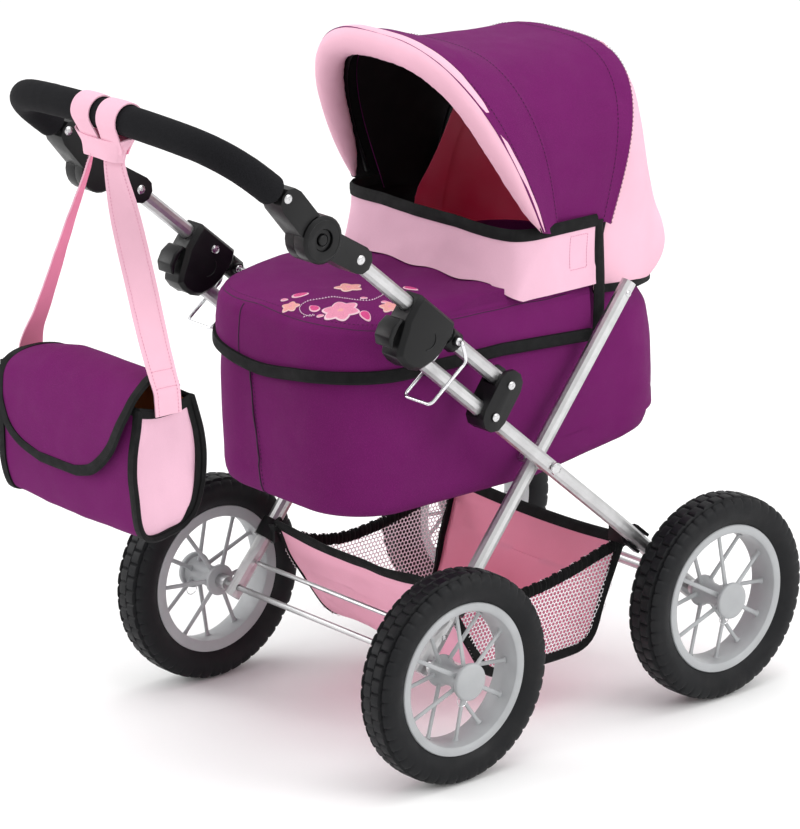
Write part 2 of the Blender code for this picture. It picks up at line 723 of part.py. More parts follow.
def hood_front():
    """Front section: the padded roll and the strip of cover behind it."""
    roll_radius = 0.0115
    angle = math.radians(116)
    ahead = Vector((0, -math.sin(angle), math.cos(angle)))
    bow = hood_section(116, 0.1180, 0.1200, 0.2880, roundness=0.75)
    middle = hood_section(110, 0.1170, 0.1160, 0.2700, roundness=0.71)
    rear = hood_section(103.5, 0.1165, 0.1120, 0.2545, roundness=0.67)
    rings = []
    last = len(bow) - 1
    for i, (point, normal) in enumerate(bow):
        end = min(i, last - i)
        radius = roll_radius * (0.40, 0.62, 0.85, 1.0)[min(end, 3)]
        centre = point - normal * radius
        turns = [math.radians(10 + 300 * k / 8) for k in range(9)]
        roll = [centre + (normal * math.cos(t) + ahead * math.sin(t)) * radius for t in turns]
        strip = [p - n * (HOOD_SKIN + 0.0004) for p, n in (middle[i], rear[i])]
        cover = [p for p, n in (rear[i], middle[i])]
        rings.append(roll + strip + cover)
    return loft(rings)


def hood_gore():
    """Middle gore with the rear bow sewn into its rear edge."""
    lines = (
        (105.0, 0.1160, 0.2475),
        (97.0, 0.1110, 0.2415),
        (90.0, 0.1070, 0.2375),
        (83.0, 0.0990, 0.2375),
        (75.5, 0.0905, 0.2405),
        (72.0, 0.0870, 0.2420),
    )
    sections = [hood_section(turn, 0.1103, base, top, tuck=0.0064) for turn, base, top in lines]
    return skin_between(sections, HOOD_SKIN)


def hood_back():
    """Back panel: a wall round the cot's end that leans in to the rear bow."""
    rows = [
        (0.3420, 0.0630, 0.1600, 0.1010),
        (0.3530, 0.0630, 0.1740, 0.1015),
        (0.3670, 0.0630, 0.1790, 0.1015),
        (0.3830, 0.0630, 0.1760, 0.1015),
        (0.4040, 0.0660, 0.1660, 0.1015),
        (0.4320, 0.0740, 0.1530, 0.1020),
        (0.4620, 0.0830, 0.1420, 0.1000),
        (0.4900, 0.0915, 0.1340, 0.0950),
        (0.5150, 0.0985, 0.1250, 0.0830),
        (0.5330, 0.1040, 0.1160, 0.0600),
        (0.5390, 0.1060, 0.1100, 0.0400),
    ]
    steps = 12
    thick = 0.0028
    rings = []
    for z, side_y, end_y, half in rows:
        outer, inner = [], []
        for i in range(steps + 1):
            t = math.pi * i / steps
            x = half * math.copysign(abs(math.cos(t)) ** 0.6, math.cos(t))
            depth = math.sin(t) ** 0.85
            outer.append(Vector((x, side_y + (end_y - side_y) * depth, z)))
            inner.append(Vector((x * (1 - thick / half), side_y + (end_y - side_y - thick) * depth, z)))
        rings.append(outer + list(reversed(inner)))
    return loft(rings)


def make_carrycot(chassis, hood_front_pivot, hood_rear_pivot):
    node("cot_tub", cot_tub(), "purple", chassis)
    node("cot_mattress", mattress(), "board", chassis)
    node("cot_cover", cot_cover(), "purple", chassis)
    node("cover_flap", turned_up_flap(), "pink", chassis)
    node("hood_back_panel", hood_back(), "pink", chassis)
    node("hood_front_section", hood_front(), "pink", hood_front_pivot)
    node("hood_rear_gore", hood_gore(), "purple", hood_rear_pivot)


# Basket and bag


def basket():
    """A hammock of cloth hung from four corners, open above."""

    def rim(lower):
        return lambda x, y: 0.127 - lower + 0.014 * max(0.0, -(y + 0.050) / 0.065)

    outer = [
        plan_ring(-0.090, 0.090, -0.055, 0.056, 0.018, 0.0440),
        plan_ring(-0.099, 0.099, -0.066, 0.066, 0.018, 0.0510),
        plan_ring(-0.101, 0.101, -0.090, 0.078, 0.014, 0.0900),
        plan_ring(-0.103, 0.103, -0.114, 0.090, 0.010, rim(0.0)),
    ]
    inner = [
        plan_ring(-0.1005, 0.1005, -0.111, 0.087, 0.008, rim(0.0)),
        plan_ring(-0.0985, 0.0985, -0.0875, 0.0755, 0.012, 0.0910),
        plan_ring(-0.0965, 0.0965, -0.0640, 0.0635, 0.016, 0.0530),
        plan_ring(-0.0890, 0.0890, -0.0540, 0.0550, 0.017, 0.0470),
    ]
    return loft(outer + inner)


def bag_loops():
    """Two loops round the foam and the cuff below them that holds the straps."""
    bar = UPPER_RIVET + UP_GRIP * CROSSBAR
    outer = FOAM + 0.0030
    loops = [pin(x0, x1, bar, outer, 20) for x0, x1 in ((-0.0240, -0.0030), (0.0070, 0.0300))]
    low, high = LOOP_SWING_Z + 0.0010, bar.z - 0.0137
    sizes = ((low, -0.0300, 0.0260, 0.0070), (high, -0.0400, 0.0350, 0.0090))
    cuff = loft([plan_ring(x0, x1, bar.y - d, bar.y + d, 0.003, z, steps=1) for z, x0, x1, d in sizes])
    hollow = rod(grip_path(0.0060), FOAM + 0.0009, 20, across=OVER_GRIP)
    return combined(cuff, join=loops, cut=[hollow])


def bag_shell():
    """A soft box with an open top, whose gussets dip below the front and back."""

    def mouth(x, y):
        return 0.3380 - 0.0100 * abs((x - 0.5 * (BAG_LEFT + BAG_RIGHT)) / 0.091) ** 4

    wall = 0.0025
    outer = [
        plan_ring(BAG_LEFT + 0.008, BAG_RIGHT - 0.008, -0.3880, -0.3370, 0.012, 0.2310),
        plan_ring(BAG_LEFT + 0.002, BAG_RIGHT - 0.002, -0.3950, -0.3290, 0.012, 0.2430),
        plan_ring(BAG_LEFT, BAG_RIGHT, BAG_BACK, BAG_FRONT, 0.010, 0.2900),
        plan_ring(BAG_LEFT + 0.005, BAG_RIGHT - 0.004, -0.3955, -0.3400, 0.008, mouth),
    ]
    inner = [
        plan_ring(BAG_LEFT + 0.0075, BAG_RIGHT - 0.0065, -0.3930, -0.3425, 0.007, mouth),
        plan_ring(BAG_LEFT + wall, BAG_RIGHT - wall, BAG_BACK + wall, BAG_FRONT - wall, 0.009, 0.2900),
        plan_ring(BAG_LEFT + 0.0045, BAG_RIGHT - 0.0045, -0.3925, -0.3315, 0.011, 0.2450),
        plan_ring(BAG_LEFT + 0.009, BAG_RIGHT - 0.009, -0.3870, -0.3380, 0.012, 0.2340),
    ]
    return loft(outer + inner)


def bag_flap():
    """The flap: from the back edge over the top and down the front, narrower towards its lip."""
    course = [
        (-0.3390, 0.3445, -0.084, 0.058),
        (-0.3450, 0.3515, -0.084, 0.059),
        (-0.3550, 0.3565, -0.085, 0.060),
        (-0.3700, 0.3580, -0.088, 0.062),
        (-0.3830, 0.3545, -0.090, 0.066),
        (-0.3940, 0.3465, -0.093, 0.074),
        (-0.4005, 0.3340, -0.093, 0.074),
        (-0.4030, 0.3180, -0.091, 0.069),
        (-0.4030, 0.3000, -0.083, 0.057),
        (-0.4025, 0.2850, -0.068, 0.040),
        (-0.4020, 0.2760, -0.048, 0.022),
    ]
    thick = 0.0025
    rings = []
    for i, (y, z, left, right) in enumerate(course):
        before, after = course[max(i - 1, 0)], course[min(i + 1, len(course) - 1)]
        way = Vector((0, after[0] - before[0], after[1] - before[1])).normalized()
        inward = X_AXIS.cross(way) * thick
        low_end = Vector((left, y, z - 0.36 * max(0.0, z - 0.3330)))
        shoulder = Vector((left + 0.040, y, z))
        right_end = Vector((right, y, z))
        top = [low_end, shoulder, right_end]
        rings.append(top + [point + inward for point in reversed(top)])
    return loft(rings)


def bag_strap(course):
    """A flat strap through (x, y, z) points, with its width along Y."""
    half_width = 0.0120
    rings = []
    for i, (x, y, z) in enumerate(course):
        before, after = course[max(i - 1, 0)], course[min(i + 1, len(course) - 1)]
        way = Vector((after[0] - before[0], 0, after[2] - before[2])).normalized()
        out = way.cross(Vector((0, 1, 0))) * STRAP
        corners = ((-half_width, -1), (half_width, -1), (half_width, 1), (-half_width, 1))
        rings.append([Vector((x, y + across, z)) + out * s for across, s in corners])
    return loft(rings)


RIGHT_STRAP = (
    (0.0090, -0.3620, 0.5122),
    (0.0130, -0.3620, 0.5020),
    (0.0310, -0.3630, 0.4660),
    (0.0600, -0.3650, 0.3880),
    (0.0735, -0.3670, 0.3560),
    (0.0800, -0.3680, 0.3380),
    (0.0815, -0.3680, 0.3180),
)
LEFT_STRAP = (
    (-0.0280, -0.3620, 0.5122),
    (-0.0380, -0.3620, 0.4900),
    (-0.0570, -0.3620, 0.4460),
    (-0.0850, -0.3620, 0.3780),
    (-0.0985, -0.3620, 0.3500),
    (-0.1020, -0.3620, 0.3330),
    (-0.1030, -0.3620, 0.3130),
)


def make_soft_goods(chassis, loops, bag, flap):
    node("basket", basket(), "pink", chassis)
    node("bag_loops", bag_loops(), "pink", loops)
    node("bag_shell", bag_shell(), "purple", bag)
    node("bag_strap_right", bag_strap(RIGHT_STRAP), "pink", bag, smooth=False)
    node("bag_strap_left", bag_strap(LEFT_STRAP), "pink", bag, smooth=False)
    node("bag_flap", bag_flap(), "purple", flap)


def main():
    clear_scene()
    chassis = empty("chassis", (0, 0, 0))
    rear_frame = empty("rear_frame", CROSS_PIVOT, chassis)
    handle = empty("handle", HANDLE_PIVOT, chassis)
    grip = empty("grip", KNUCKLE, handle)
    bar = UPPER_RIVET + UP_GRIP * CROSSBAR
    loops = empty("loops", bar, grip)
    bag = empty("bag", Vector((0, bar.y, LOOP_SWING_Z)), loops)
    flap = empty("flap", Vector((0, -0.3400, 0.3430)), bag)
    pivots = {}
    for side_name, side in SIDES.items():
        lever_place = tube_frame(CLIP_PIVOT, 0.0600, 0.0145)
        pivots[f"lever_{side_name}"] = empty(f"lever_{side_name}", lever_place, handle)
        pivots[f"bail_{side_name}"] = empty(f"bail_{side_name}", CLIP_PIVOT, handle)
        pivots[f"button_{side_name}"] = empty(f"button_{side_name}", KNUCKLE, handle)
        for place, y, parent in (("front", AXLE_Y, chassis), ("rear", -AXLE_Y, rear_frame)):
            spin = empty(f"{place}_{side_name}_spin", (side * 0.157, y, WHEEL_RADIUS), parent)
            make_wheel(place, side_name, y, spin)
    make_frame(chassis, rear_frame)
    make_handle(handle, grip, pivots)
    make_carrycot(chassis, empty("hood_front", HOOD_PIVOT, chassis), empty("hood_rear", HOOD_PIVOT, chassis))
    make_soft_goods(chassis, loops, bag, flap)
    chassis.location.y = STROLLER_Y


main()
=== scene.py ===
"""The looks of the doll stroller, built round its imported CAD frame.

Metres, +Z up, +Y towards the hood end. Places are written from the middle of the wheelbase, on the
floor, and Shape.piece moves them to the frame's own origin.
"""

import json
import math

import bmesh
import bpy
import numpy as np
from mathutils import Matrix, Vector, noise
from mathutils.bvhtree import BVHTree

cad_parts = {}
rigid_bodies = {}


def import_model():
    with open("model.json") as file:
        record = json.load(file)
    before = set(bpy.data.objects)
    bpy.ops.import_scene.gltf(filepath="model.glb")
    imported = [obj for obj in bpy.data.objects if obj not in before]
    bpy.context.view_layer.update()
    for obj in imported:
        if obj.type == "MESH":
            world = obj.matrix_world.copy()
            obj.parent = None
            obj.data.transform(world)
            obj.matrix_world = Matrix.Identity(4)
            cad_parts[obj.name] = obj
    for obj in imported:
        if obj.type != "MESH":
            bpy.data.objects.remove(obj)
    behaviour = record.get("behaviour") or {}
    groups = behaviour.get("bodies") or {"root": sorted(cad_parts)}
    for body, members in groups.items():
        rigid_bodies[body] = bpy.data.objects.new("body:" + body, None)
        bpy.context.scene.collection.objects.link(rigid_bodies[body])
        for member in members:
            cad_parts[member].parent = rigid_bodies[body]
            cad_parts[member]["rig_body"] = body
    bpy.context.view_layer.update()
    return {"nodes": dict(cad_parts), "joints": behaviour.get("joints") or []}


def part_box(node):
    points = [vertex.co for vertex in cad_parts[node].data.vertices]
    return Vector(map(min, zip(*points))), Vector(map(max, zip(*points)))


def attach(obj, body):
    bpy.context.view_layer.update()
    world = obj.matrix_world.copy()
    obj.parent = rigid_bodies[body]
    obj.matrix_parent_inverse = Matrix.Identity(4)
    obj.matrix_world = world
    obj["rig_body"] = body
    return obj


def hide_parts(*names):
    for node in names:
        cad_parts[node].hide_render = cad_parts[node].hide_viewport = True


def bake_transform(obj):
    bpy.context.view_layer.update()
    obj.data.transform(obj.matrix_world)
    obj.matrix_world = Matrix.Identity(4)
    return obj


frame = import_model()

SIDES = {"right": 1, "left": -1}
ENDS = ("front", "rear")


def middle(node):
    """The middle of a CAD node's box at rest."""
    low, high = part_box(node)
    return (low + high) / 2


MID = Vector((0, (middle("front_axle").y + middle("rear_axle").y) / 2, 0))


def joint_place(name):
    """A point on a joint's axis, from the middle of the wheelbase."""
    found = [j for j in frame["joints"] if j["name"] == name]
    return Vector(found[0]["pos_m"]) - MID


# Driving dimensions, from the frame where it has them
WHEEL_RADIUS = middle("front_axle").z
HANDLE_PIVOT = joint_place("handle_fold")
CLIP_PIVOT = joint_place("bail_swing_right")
KNUCKLE = joint_place("grip_tilt")
HOOD_PIVOT = joint_place("hood_front_fold")
CROSSBAR = joint_place("loops_turn")
LEG_X = middle("handle_tube_right").x
UP_TUBE = Vector((0, -math.cos(math.atan(0.8475)), math.sin(math.atan(0.8475))))
UNDER = Vector((0, UP_TUBE.z * -1, UP_TUBE.y))
GRIP_RISE = math.radians(39)
UP_GRIP = Vector((0, -math.cos(GRIP_RISE), math.sin(GRIP_RISE)))
OVER_GRIP = Vector((0, math.sin(GRIP_RISE), math.cos(GRIP_RISE)))
LOWER_RIVET = Vector((0, -0.2325, 0.4441))
UPPER_RIVET = Vector((0, -0.3035, 0.5045))
FOAM = 0.0122
X_AXIS = Vector((1, 0, 0))

COT_HALF = 0.1020
COT_BACK = -0.2050
COT_FRONT = 0.1520
COT_CORNER = 0.0620
COT_TOP = 0.3765
CLOTH = 0.0012
TAPE = 0.0080


# Mesh tools


def smooth_path(points, count):
    """A smooth curve through the points, as count points at even steps along it."""
    p = np.array([tuple(q) for q in points], float)
    ends = np.vstack([2 * p[0] - p[1], p, 2 * p[-1] - p[-2]])
    fine = []
    for i in range(len(p) - 1):
        a, b, c, d = ends[i : i + 4]
        for t in np.linspace(0, 1, 16, endpoint=False):
            fine.append(0.5 * (2 * b + (c - a) * t + (2 * a - 5 * b + 4 * c - d) * t * t
                               + (3 * b - 3 * c + d - a) * t ** 3))
    fine = np.array(fine + [p[-1]])
    run = np.concatenate([[0], np.cumsum(np.linalg.norm(np.diff(fine, axis=0), axis=1))])
    even = np.linspace(0, run[-1], count)
    return np.stack([np.interp(even, run, fine[:, k]) for k in range(p.shape[1])], 1)


def curve(points, at):
    """A value read from (place, value) points at one or more places, eased between them."""
    x, y = zip(*points)
    at = np.asarray(at, float)
    i = np.clip(np.searchsorted(x, at) - 1, 0, len(x) - 2)
    x, y = np.array(x, float), np.array(y, float)
    t = np.clip((at - x[i]) / (x[i + 1] - x[i]), 0, 1)
    slope = np.gradient(y, x)
    h = x[i + 1] - x[i]
    return ((2 * t**3 - 3 * t**2 + 1) * y[i] + (t**3 - 2 * t**2 + t) * h * slope[i]
            + (3 * t**2 - 2 * t**3) * y[i + 1] + (t**3 - t**2) * h * slope[i + 1])


def normals(grid, wrap=False):
    """Normals of a grid of points. With wrap, each row is a closed ring."""
    if wrap:
        along = np.roll(grid, -1, 1) - np.roll(grid, 1, 1)
    else:
        along = np.gradient(grid, axis=1)
    across = np.gradient(grid, axis=0)
    n = np.cross(along, across)
    return n / np.maximum(np.linalg.norm(n, axis=2, keepdims=True), 1e-12)


def crumple(grid, out, amount, size, seed, stretch=(1, 1, 1)):
    """Soft folds: moves each point along out by noise of about that size."""
    moved = grid.copy()
    amount = np.broadcast_to(amount, grid.shape[:2])
    scale = np.array(stretch, float) / size
    for i in range(grid.shape[0]):
        for j in range(grid.shape[1]):
            p = Vector(grid[i, j] * scale + seed)
            moved[i, j] += out[i, j] * (noise.noise(p) + 0.4 * noise.noise(p * 2.3)) * amount[i, j]
    return moved


def arc_lengths(grid, wrap):
    """Distances along the rows and across them, in metres, for the weave's UVs."""
    ring = np.concatenate([grid, grid[:, :1]], 1) if wrap else grid
    along = np.linalg.norm(np.diff(ring, axis=1), axis=2).mean(0)
    across = np.linalg.norm(np.diff(grid, axis=0), axis=2).mean(1)
    return np.concatenate([[0], np.cumsum(along)]), np.concatenate([[0], np.cumsum(across)])


class Shape:
    """Collects the points and faces of one piece, with UVs in metres."""

    def __init__(self):
        self.points, self.faces, self.uvs, self.slots = [], [], [], []

    def add(self, points, faces, uvs, slot):
        base = len(self.points)
        self.points += [tuple(p) for p in points]
        self.faces += [[base + k for k in face] for face in faces]
        self.uvs += uvs
        self.slots += [slot] * len(faces) if isinstance(slot, int) else list(slot)

    def grid(self, grid, slot=0, wrap=False, flip=False, pick=None):
        """A skin over a grid. pick(i, j) gives the slot of one face, or None to leave it out."""
        n, m = grid.shape[:2]
        u, v = arc_lengths(grid, wrap)
        faces, uvs, slots = [], [], []
        for i in range(n - 1):
            for j in range(m if wrap else m - 1):
                chosen = pick(i, j) if pick else slot
                if chosen is None:
                    continue
                k = (j + 1) % m
                face = [i * m + j, i * m + k, (i + 1) * m + k, (i + 1) * m + j]
                uv = [(u[j], v[i]), (u[j + 1], v[i]), (u[j + 1], v[i + 1]), (u[j], v[i + 1])]
                faces.append(face[::-1] if flip else face)
                uvs.append(uv[::-1] if flip else uv)
                slots.append(chosen)
        self.add(grid.reshape(-1, 3), faces, uvs, slots)

    def shell(self, grid, thick=CLOTH, outer=0, inner=1, edge=None, wrap=False, pick=None):
        """A sheet of even thickness. Its grid is the outer skin, and the inner one lies behind it."""
        inside = grid - normals(grid, wrap) * thick
        self.grid(grid, outer, wrap, pick=pick)
        self.grid(inside, inner, wrap, flip=True,
                  pick=pick and (lambda i, j: None if pick(i, j) is None else inner))
        edge = outer if edge is None else edge
        rims = [(grid[0], inside[0]), (inside[-1], grid[-1])]
        if not wrap:
            rims += [(inside[:, 0], grid[:, 0]), (grid[:, -1], inside[:, -1])]
        if pick is None:
            for a, b in rims:
                self.grid(np.stack([b, a]), edge, wrap)

    def tube(self, path, radius, sides=12, slot=0, across=X_AXIS, caps=True, squash=1.0):
        """A round bar along a path. radius is a number or one for each point."""
        p = np.array([tuple(q) for q in path], float)
        way = np.gradient(p, axis=0)
        way /= np.linalg.norm(way, axis=1, keepdims=True)
        a = np.array(tuple(across), float)
        u = a - way * (way @ a)[:, None]
        u /= np.linalg.norm(u, axis=1, keepdims=True)
        w = np.cross(way, u)
        r = np.broadcast_to(radius, (len(p),))[:, None, None]
        turn = 2 * math.pi * np.arange(sides) / sides
        ring = np.cos(turn)[None, :, None] * u[:, None] + squash * np.sin(turn)[None, :, None] * w[:, None]
        grid = p[:, None] + ring * r
        self.grid(grid, slot, wrap=True)
        if caps:
            self.cap(grid[0], slot, flip=False)
            self.cap(grid[-1], slot, flip=True)
        return grid

    def cap(self, ring, slot=0, flip=False):
        """A slightly domed cap over a ring of points."""
        order = list(range(len(ring)))
        flat = [(p[0], p[1] + p[2]) for p in ring]
        face = order if flip else order[::-1]
        self.add(ring, [face], [[flat[k] for k in face]], slot)

    def turned(self, profile, centre, sides=48, slot=0, side=1, closed=False, inward=False):
        """A profile of (x, radius) turned about X through centre, on the right or the left."""
        turn = 2 * math.pi * np.arange(sides) / sides
        rows = []
        for x, r in profile:
            rows.append([(side * (centre[0] + x), centre[1] + r * math.cos(t), centre[2] + r * math.sin(t))
                         for t in turn])
        grid = np.array(rows + [rows[0]] if closed else rows, float)
        self.grid(grid, slot, wrap=True, flip=(side > 0) != inward)
        return grid

    def binding(self, path, inward, out, width=TAPE, slot=0, closed=False, thick=0.0010, puff=None):
        """Tape folded over an edge: path is the edge, inward points into the cloth, out is its normal."""
        p, d, n = (np.array([tuple(q) for q in a], float) for a in (path, inward, out))
        profile = ((1.0, -1.0), (0.55, -1.35), (0.12, -1.30), (-0.12, 0.0), (0.12, 1.30), (0.55, 1.35),
                   (1.0, 1.0))
        puff = np.ones(len(p)) if puff is None else puff
        width = np.broadcast_to(width, (len(p),))[:, None]
        rows = [p + d * (width * a) + n * (thick * b * puff[:, None]) for a, b in profile]
        grid = np.stack(rows, 1)
        if closed:
            grid = np.concatenate([grid, grid[:1]])
        self.grid(grid, slot, wrap=True)
        if not closed:
            self.cap(grid[0], slot)
            self.cap(grid[-1], slot, flip=True)

    def stitches(self, path, out, slot=0, pitch=0.0034, size=0.00028, lift=0.0002):
        """A row of thread stitches that lie on a surface along a path."""
        p, n = np.array([tuple(q) for q in path], float), np.array([tuple(q) for q in out], float)
        run = np.concatenate([[0], np.cumsum(np.linalg.norm(np.diff(p, axis=0), axis=1))])
        count = max(1, int(run[-1] / pitch))
        for k in range(count):
            span = [(k + f) * run[-1] / count for f in (0.12, 0.5, 0.88)]
            q = [np.array([np.interp(s, run, p[:, c]) for c in range(3)]) for s in span]
            up = np.array([np.interp(span[1], run, n[:, c]) for c in range(3)])
            side = np.cross(q[2] - q[0], up)
            side *= size / max(np.linalg.norm(side), 1e-9)
            mid = q[1] + up * (lift + size)
            ring = [q[0], mid + side - up * size, mid + up * size, mid - side - up * size, q[2]]
            faces = [[0, 1, 2], [0, 2, 3], [4, 2, 1], [4, 3, 2], [0, 3, 1], [4, 1, 3]]
            self.add(ring, faces, [[(0, 0)] * 3] * 6, slot)

    def piece(self, name, looks, body=None, replaces=(), smooth=True, angle=40):
        """Makes the object, in the frame's own place."""
        mesh = bpy.data.meshes.new(name)
        shift = np.array(tuple(MID))
        mesh.from_pydata((np.array(self.points) + shift).tolist(), [], self.faces)
        for look in looks:
            mesh.materials.append(look)
        mesh.polygons.foreach_set("material_index", np.array(self.slots, np.int32))
        layer = mesh.uv_layers.new(name="UVMap")
        layer.data.foreach_set("uv", np.array([c for face in self.uvs for uv in face for c in uv],
                                              np.float32))
        mesh.validate()
        if smooth:
            mesh.shade_smooth()
            mesh.set_sharp_from_angle(angle=math.radians(angle))
        made = bpy.data.objects.new(name, mesh)
        bpy.context.scene.collection.objects.link(made)
        if body:
            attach(made, body)
        if replaces:
            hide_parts(*replaces)
        return made


def declare_sheet(grid, wrap=False):
    """Works out the flat size of a piece from its own grid, before folding; the result is not kept."""
    along, across = arc_lengths(grid, wrap)
    a, b, c, d = grid[:-1, :-1], grid[1:, :-1], grid[1:, 1:], grid[:-1, 1:]
    area = 0.5 * np.linalg.norm(np.cross(c - a, d - b), axis=2).sum()
    width, length = round(float(along[-1]), 4), round(float(across[-1]), 4)
    area = float(min(max(area, 0.31 * width * length), width * length))


# Materials


class Look:
    """A Principled material, with short ways to add procedural detail to it."""

    def __init__(self, name, colour, roughness, metallic=0.0, **sockets):
        self.material = bpy.data.materials.new(name)
        self.material.use_nodes = True
        self.tree = self.material.node_tree
        self.shader = self.tree.nodes["Principled BSDF"]
        self.shader.inputs["Base Color"].default_value = (*colour, 1)
        self.shader.inputs["Roughness"].default_value = roughness
        self.shader.inputs["Metallic"].default_value = metallic
        for socket, value in sockets.items():
            self.shader.inputs[socket.replace("_", " ")].default_value = value
        self.coordinates = self.tree.nodes.new("ShaderNodeTexCoord")
        self.bumps = None

    def node(self, kind, inputs=(), **settings):
        made = self.tree.nodes.new("ShaderNode" + kind)
        for key, value in settings.items():
            setattr(made, key, value)
        for key, value in dict(inputs).items():
            if isinstance(value, bpy.types.NodeSocket):
                self.tree.links.new(value, made.inputs[key])
            else:
                made.inputs[key].default_value = value
        return made

    def math(self, operation, a, b=0.0):
        return self.node("Math", {0: a, 1: b}, operation=operation).outputs[0]

    def noise(self, scale, detail=2.0, roughness=0.5, source="Object"):
        vector = self.coordinates.outputs[source]
        settings = {"Vector": vector, "Scale": scale, "Detail": detail, "Roughness": roughness}
        return self.node("TexNoise", settings).outputs["Fac"]

    def ramp(self, value, low, high, bottom, top):
        settings = {"Value": value, "From Min": low, "From Max": high, "To Min": bottom, "To Max": top}
        return self.node("MapRange", settings).outputs["Result"]

    def mix(self, factor, a, b):
        made = self.node("Mix", data_type="RGBA")
        for index, value in ((0, factor), (6, a), (7, b)):
            if isinstance(value, bpy.types.NodeSocket):
                self.tree.links.new(value, made.inputs[index])
            else:
                made.inputs[index].default_value = value if index == 0 else (*value, 1)
        return made.outputs[2]

    def colour(self, socket):
        self.tree.links.new(socket, self.shader.inputs["Base Color"])

    def roughness(self, socket):
        self.tree.links.new(socket, self.shader.inputs["Roughness"])

    def bump(self, height, distance, strength=1.0):
        settings = {"Height": height, "Distance": distance, "Strength": strength}
        if self.bumps:
            settings["Normal"] = self.bumps
        self.bumps = self.node("Bump", settings).outputs["Normal"]
        self.tree.links.new(self.bumps, self.shader.inputs["Normal"])

    def waves(self, pitch, source="UV"):
        """Sines of that pitch along the first two coordinates."""
        parts = self.node("SeparateXYZ", {0: self.coordinates.outputs[source]})
        turns = 2 * math.pi / pitch
        return [self.math("SINE", self.math("MULTIPLY", parts.outputs[k], turns)) for k in (0, 1)]


def scaled(colour, factor):
    return tuple(min(1.0, c * factor) for c in colour)


def woven(name, colour, pitch=0.0011, depth=0.00016, contrast=0.30, roughness=0.86, sheen=0.05,
          specular=0.25, fleck=0.0):
    """Plain-woven polyester: a checker of threads, with uneven yarn and soft changes of tone. The checker's
    colour is painted shade where the threads dip and painted light where they rise.
    """
    look = Look(name, colour, roughness, Sheen_Weight=sheen, Sheen_Roughness=0.5,
                Specular_IOR_Level=specular)
    look.shader.inputs["Sheen Tint"].default_value = (*scaled(colour, 1.6), 1)
    u, v = look.waves(pitch)
    thread = look.math("MULTIPLY", u, v)
    slub = look.noise(900, 1.0)
    height = look.math("ADD", look.math("MULTIPLY", thread, 0.5), look.math("MULTIPLY", slub, 0.5))
    # Painted shade and light: the colour goes darker where the weave's height is low and lighter where it
    # is high.
    painted_weave_shade = look.mix(look.ramp(height, -0.25, 0.75, 0, 1), scaled(colour, 1 - contrast),
                     scaled(colour, 1 + contrast))
    cloud = look.ramp(look.noise(16, 3.0), 0.3, 0.7, 0, 1)
    soft = look.mix(cloud, scaled(colour, 0.90), scaled(colour, 1.08))
    blended = look.node("Mix", data_type="RGBA", blend_type="MIX")
    blended.inputs[0].default_value = 0.5
    look.tree.links.new(painted_weave_shade, blended.inputs[6])
    look.tree.links.new(soft, blended.inputs[7])
    result = blended.outputs[2]
    if fleck:
        dots = look.ramp(look.noise(2600, 0.0), 0.62, 0.72, 0, fleck)
        result = look.mix(dots, (0, 0, 0), scaled(colour, 2.6))
        mixer = result.node
        look.tree.links.new(blended.outputs[2], mixer.inputs[6])
    look.colour(result)
    look.roughness(look.ramp(look.noise(60, 2.0), 0.3, 0.7, roughness - 0.06, roughness + 0.06))
    look.bump(height, depth)
    look.bump(look.noise(70, 3.0), 0.0006, 0.35)
    return look.material


def taped(name, colour):
    """Black grosgrain tape: fine ribs across it, with painted shade between the ribs and painted light on
    them.
    """
    look = Look(name, colour, 0.72, Specular_IOR_Level=0.22)
    ribs = look.waves(0.0009)[1]
    # Painted shade and light: darker between the ribs, lighter on their tops.
    look.colour(look.mix(look.ramp(ribs, -1, 1, 0, 1), scaled(colour, 0.6), scaled(colour, 1.7)))
    look.roughness(look.ramp(look.noise(120, 2.0), 0.3, 0.7, 0.70, 0.86))
    look.bump(ribs, 0.00012)
    look.bump(look.noise(160, 3.0), 0.0006, 0.4)
    return look.material


def threaded(name, colour):
    look = Look(name, colour, 0.6, Specular_IOR_Level=0.3)
    twist = look.waves(0.0007)[0]
    # Painted shade and light: darker in the grooves of the twist, lighter on its ridges.
    look.colour(look.mix(look.ramp(twist, -1, 1, 0, 1), scaled(colour, 0.75), scaled(colour, 1.15)))
    look.bump(twist, 0.00008)
    return look.material


def steel(name, colour=(0.50, 0.50, 0.505), roughness=0.36):
    """Satin tube: drawn along its length, with faint handling marks."""
    look = Look(name, colour, roughness, 1.0)
    marks = look.noise(45, 4.0, 0.6)
    look.colour(look.mix(look.ramp(marks, 0.35, 0.65, 0, 1), scaled(colour, 0.90), scaled(colour, 1.06)))
    look.roughness(look.ramp(look.noise(300, 3.0, 0.6), 0.3, 0.7, roughness - 0.06, roughness + 0.09))
    look.bump(look.noise(1400, 2.0), 0.00003, 0.6)
    return look.material


def chromed(name):
    look = Look(name, (0.72, 0.72, 0.74), 0.10, 1.0)
    look.roughness(look.ramp(look.noise(220, 3.0), 0.3, 0.7, 0.06, 0.20))
    look.bump(look.noise(260, 2.0), 0.00004, 0.4)
    return look.material


def moulded(name, colour, roughness, grain=0.00005, grain_scale=2200, edge=1.6, specular=0.5):
    """Moulded plastic: spark-eroded grain, and a painted highlight that makes sharp convex edges a shade
    lighter.
    """
    look = Look(name, colour, roughness, Specular_IOR_Level=specular)
    # Painted highlight: convex edges are lightened, as if catching light.
    edge_pointiness = look.node("NewGeometry").outputs["Pointiness"]
    painted_edge_highlight = look.ramp(edge_pointiness, 0.52, 0.60, 0, 0.5)
    tone = look.mix(look.ramp(look.noise(30, 3.0), 0.3, 0.7, 0, 1), scaled(colour, 0.92),
                    scaled(colour, 1.08))
    lit = look.mix(painted_edge_highlight, colour, scaled(colour, edge))
    look.tree.links.new(tone, lit.node.inputs[6])
    look.colour(lit)
    look.roughness(look.ramp(look.noise(90, 3.0), 0.3, 0.7, roughness - 0.05, roughness + 0.08))
    look.bump(look.noise(grain_scale, 2.0), grain)
    return look.material


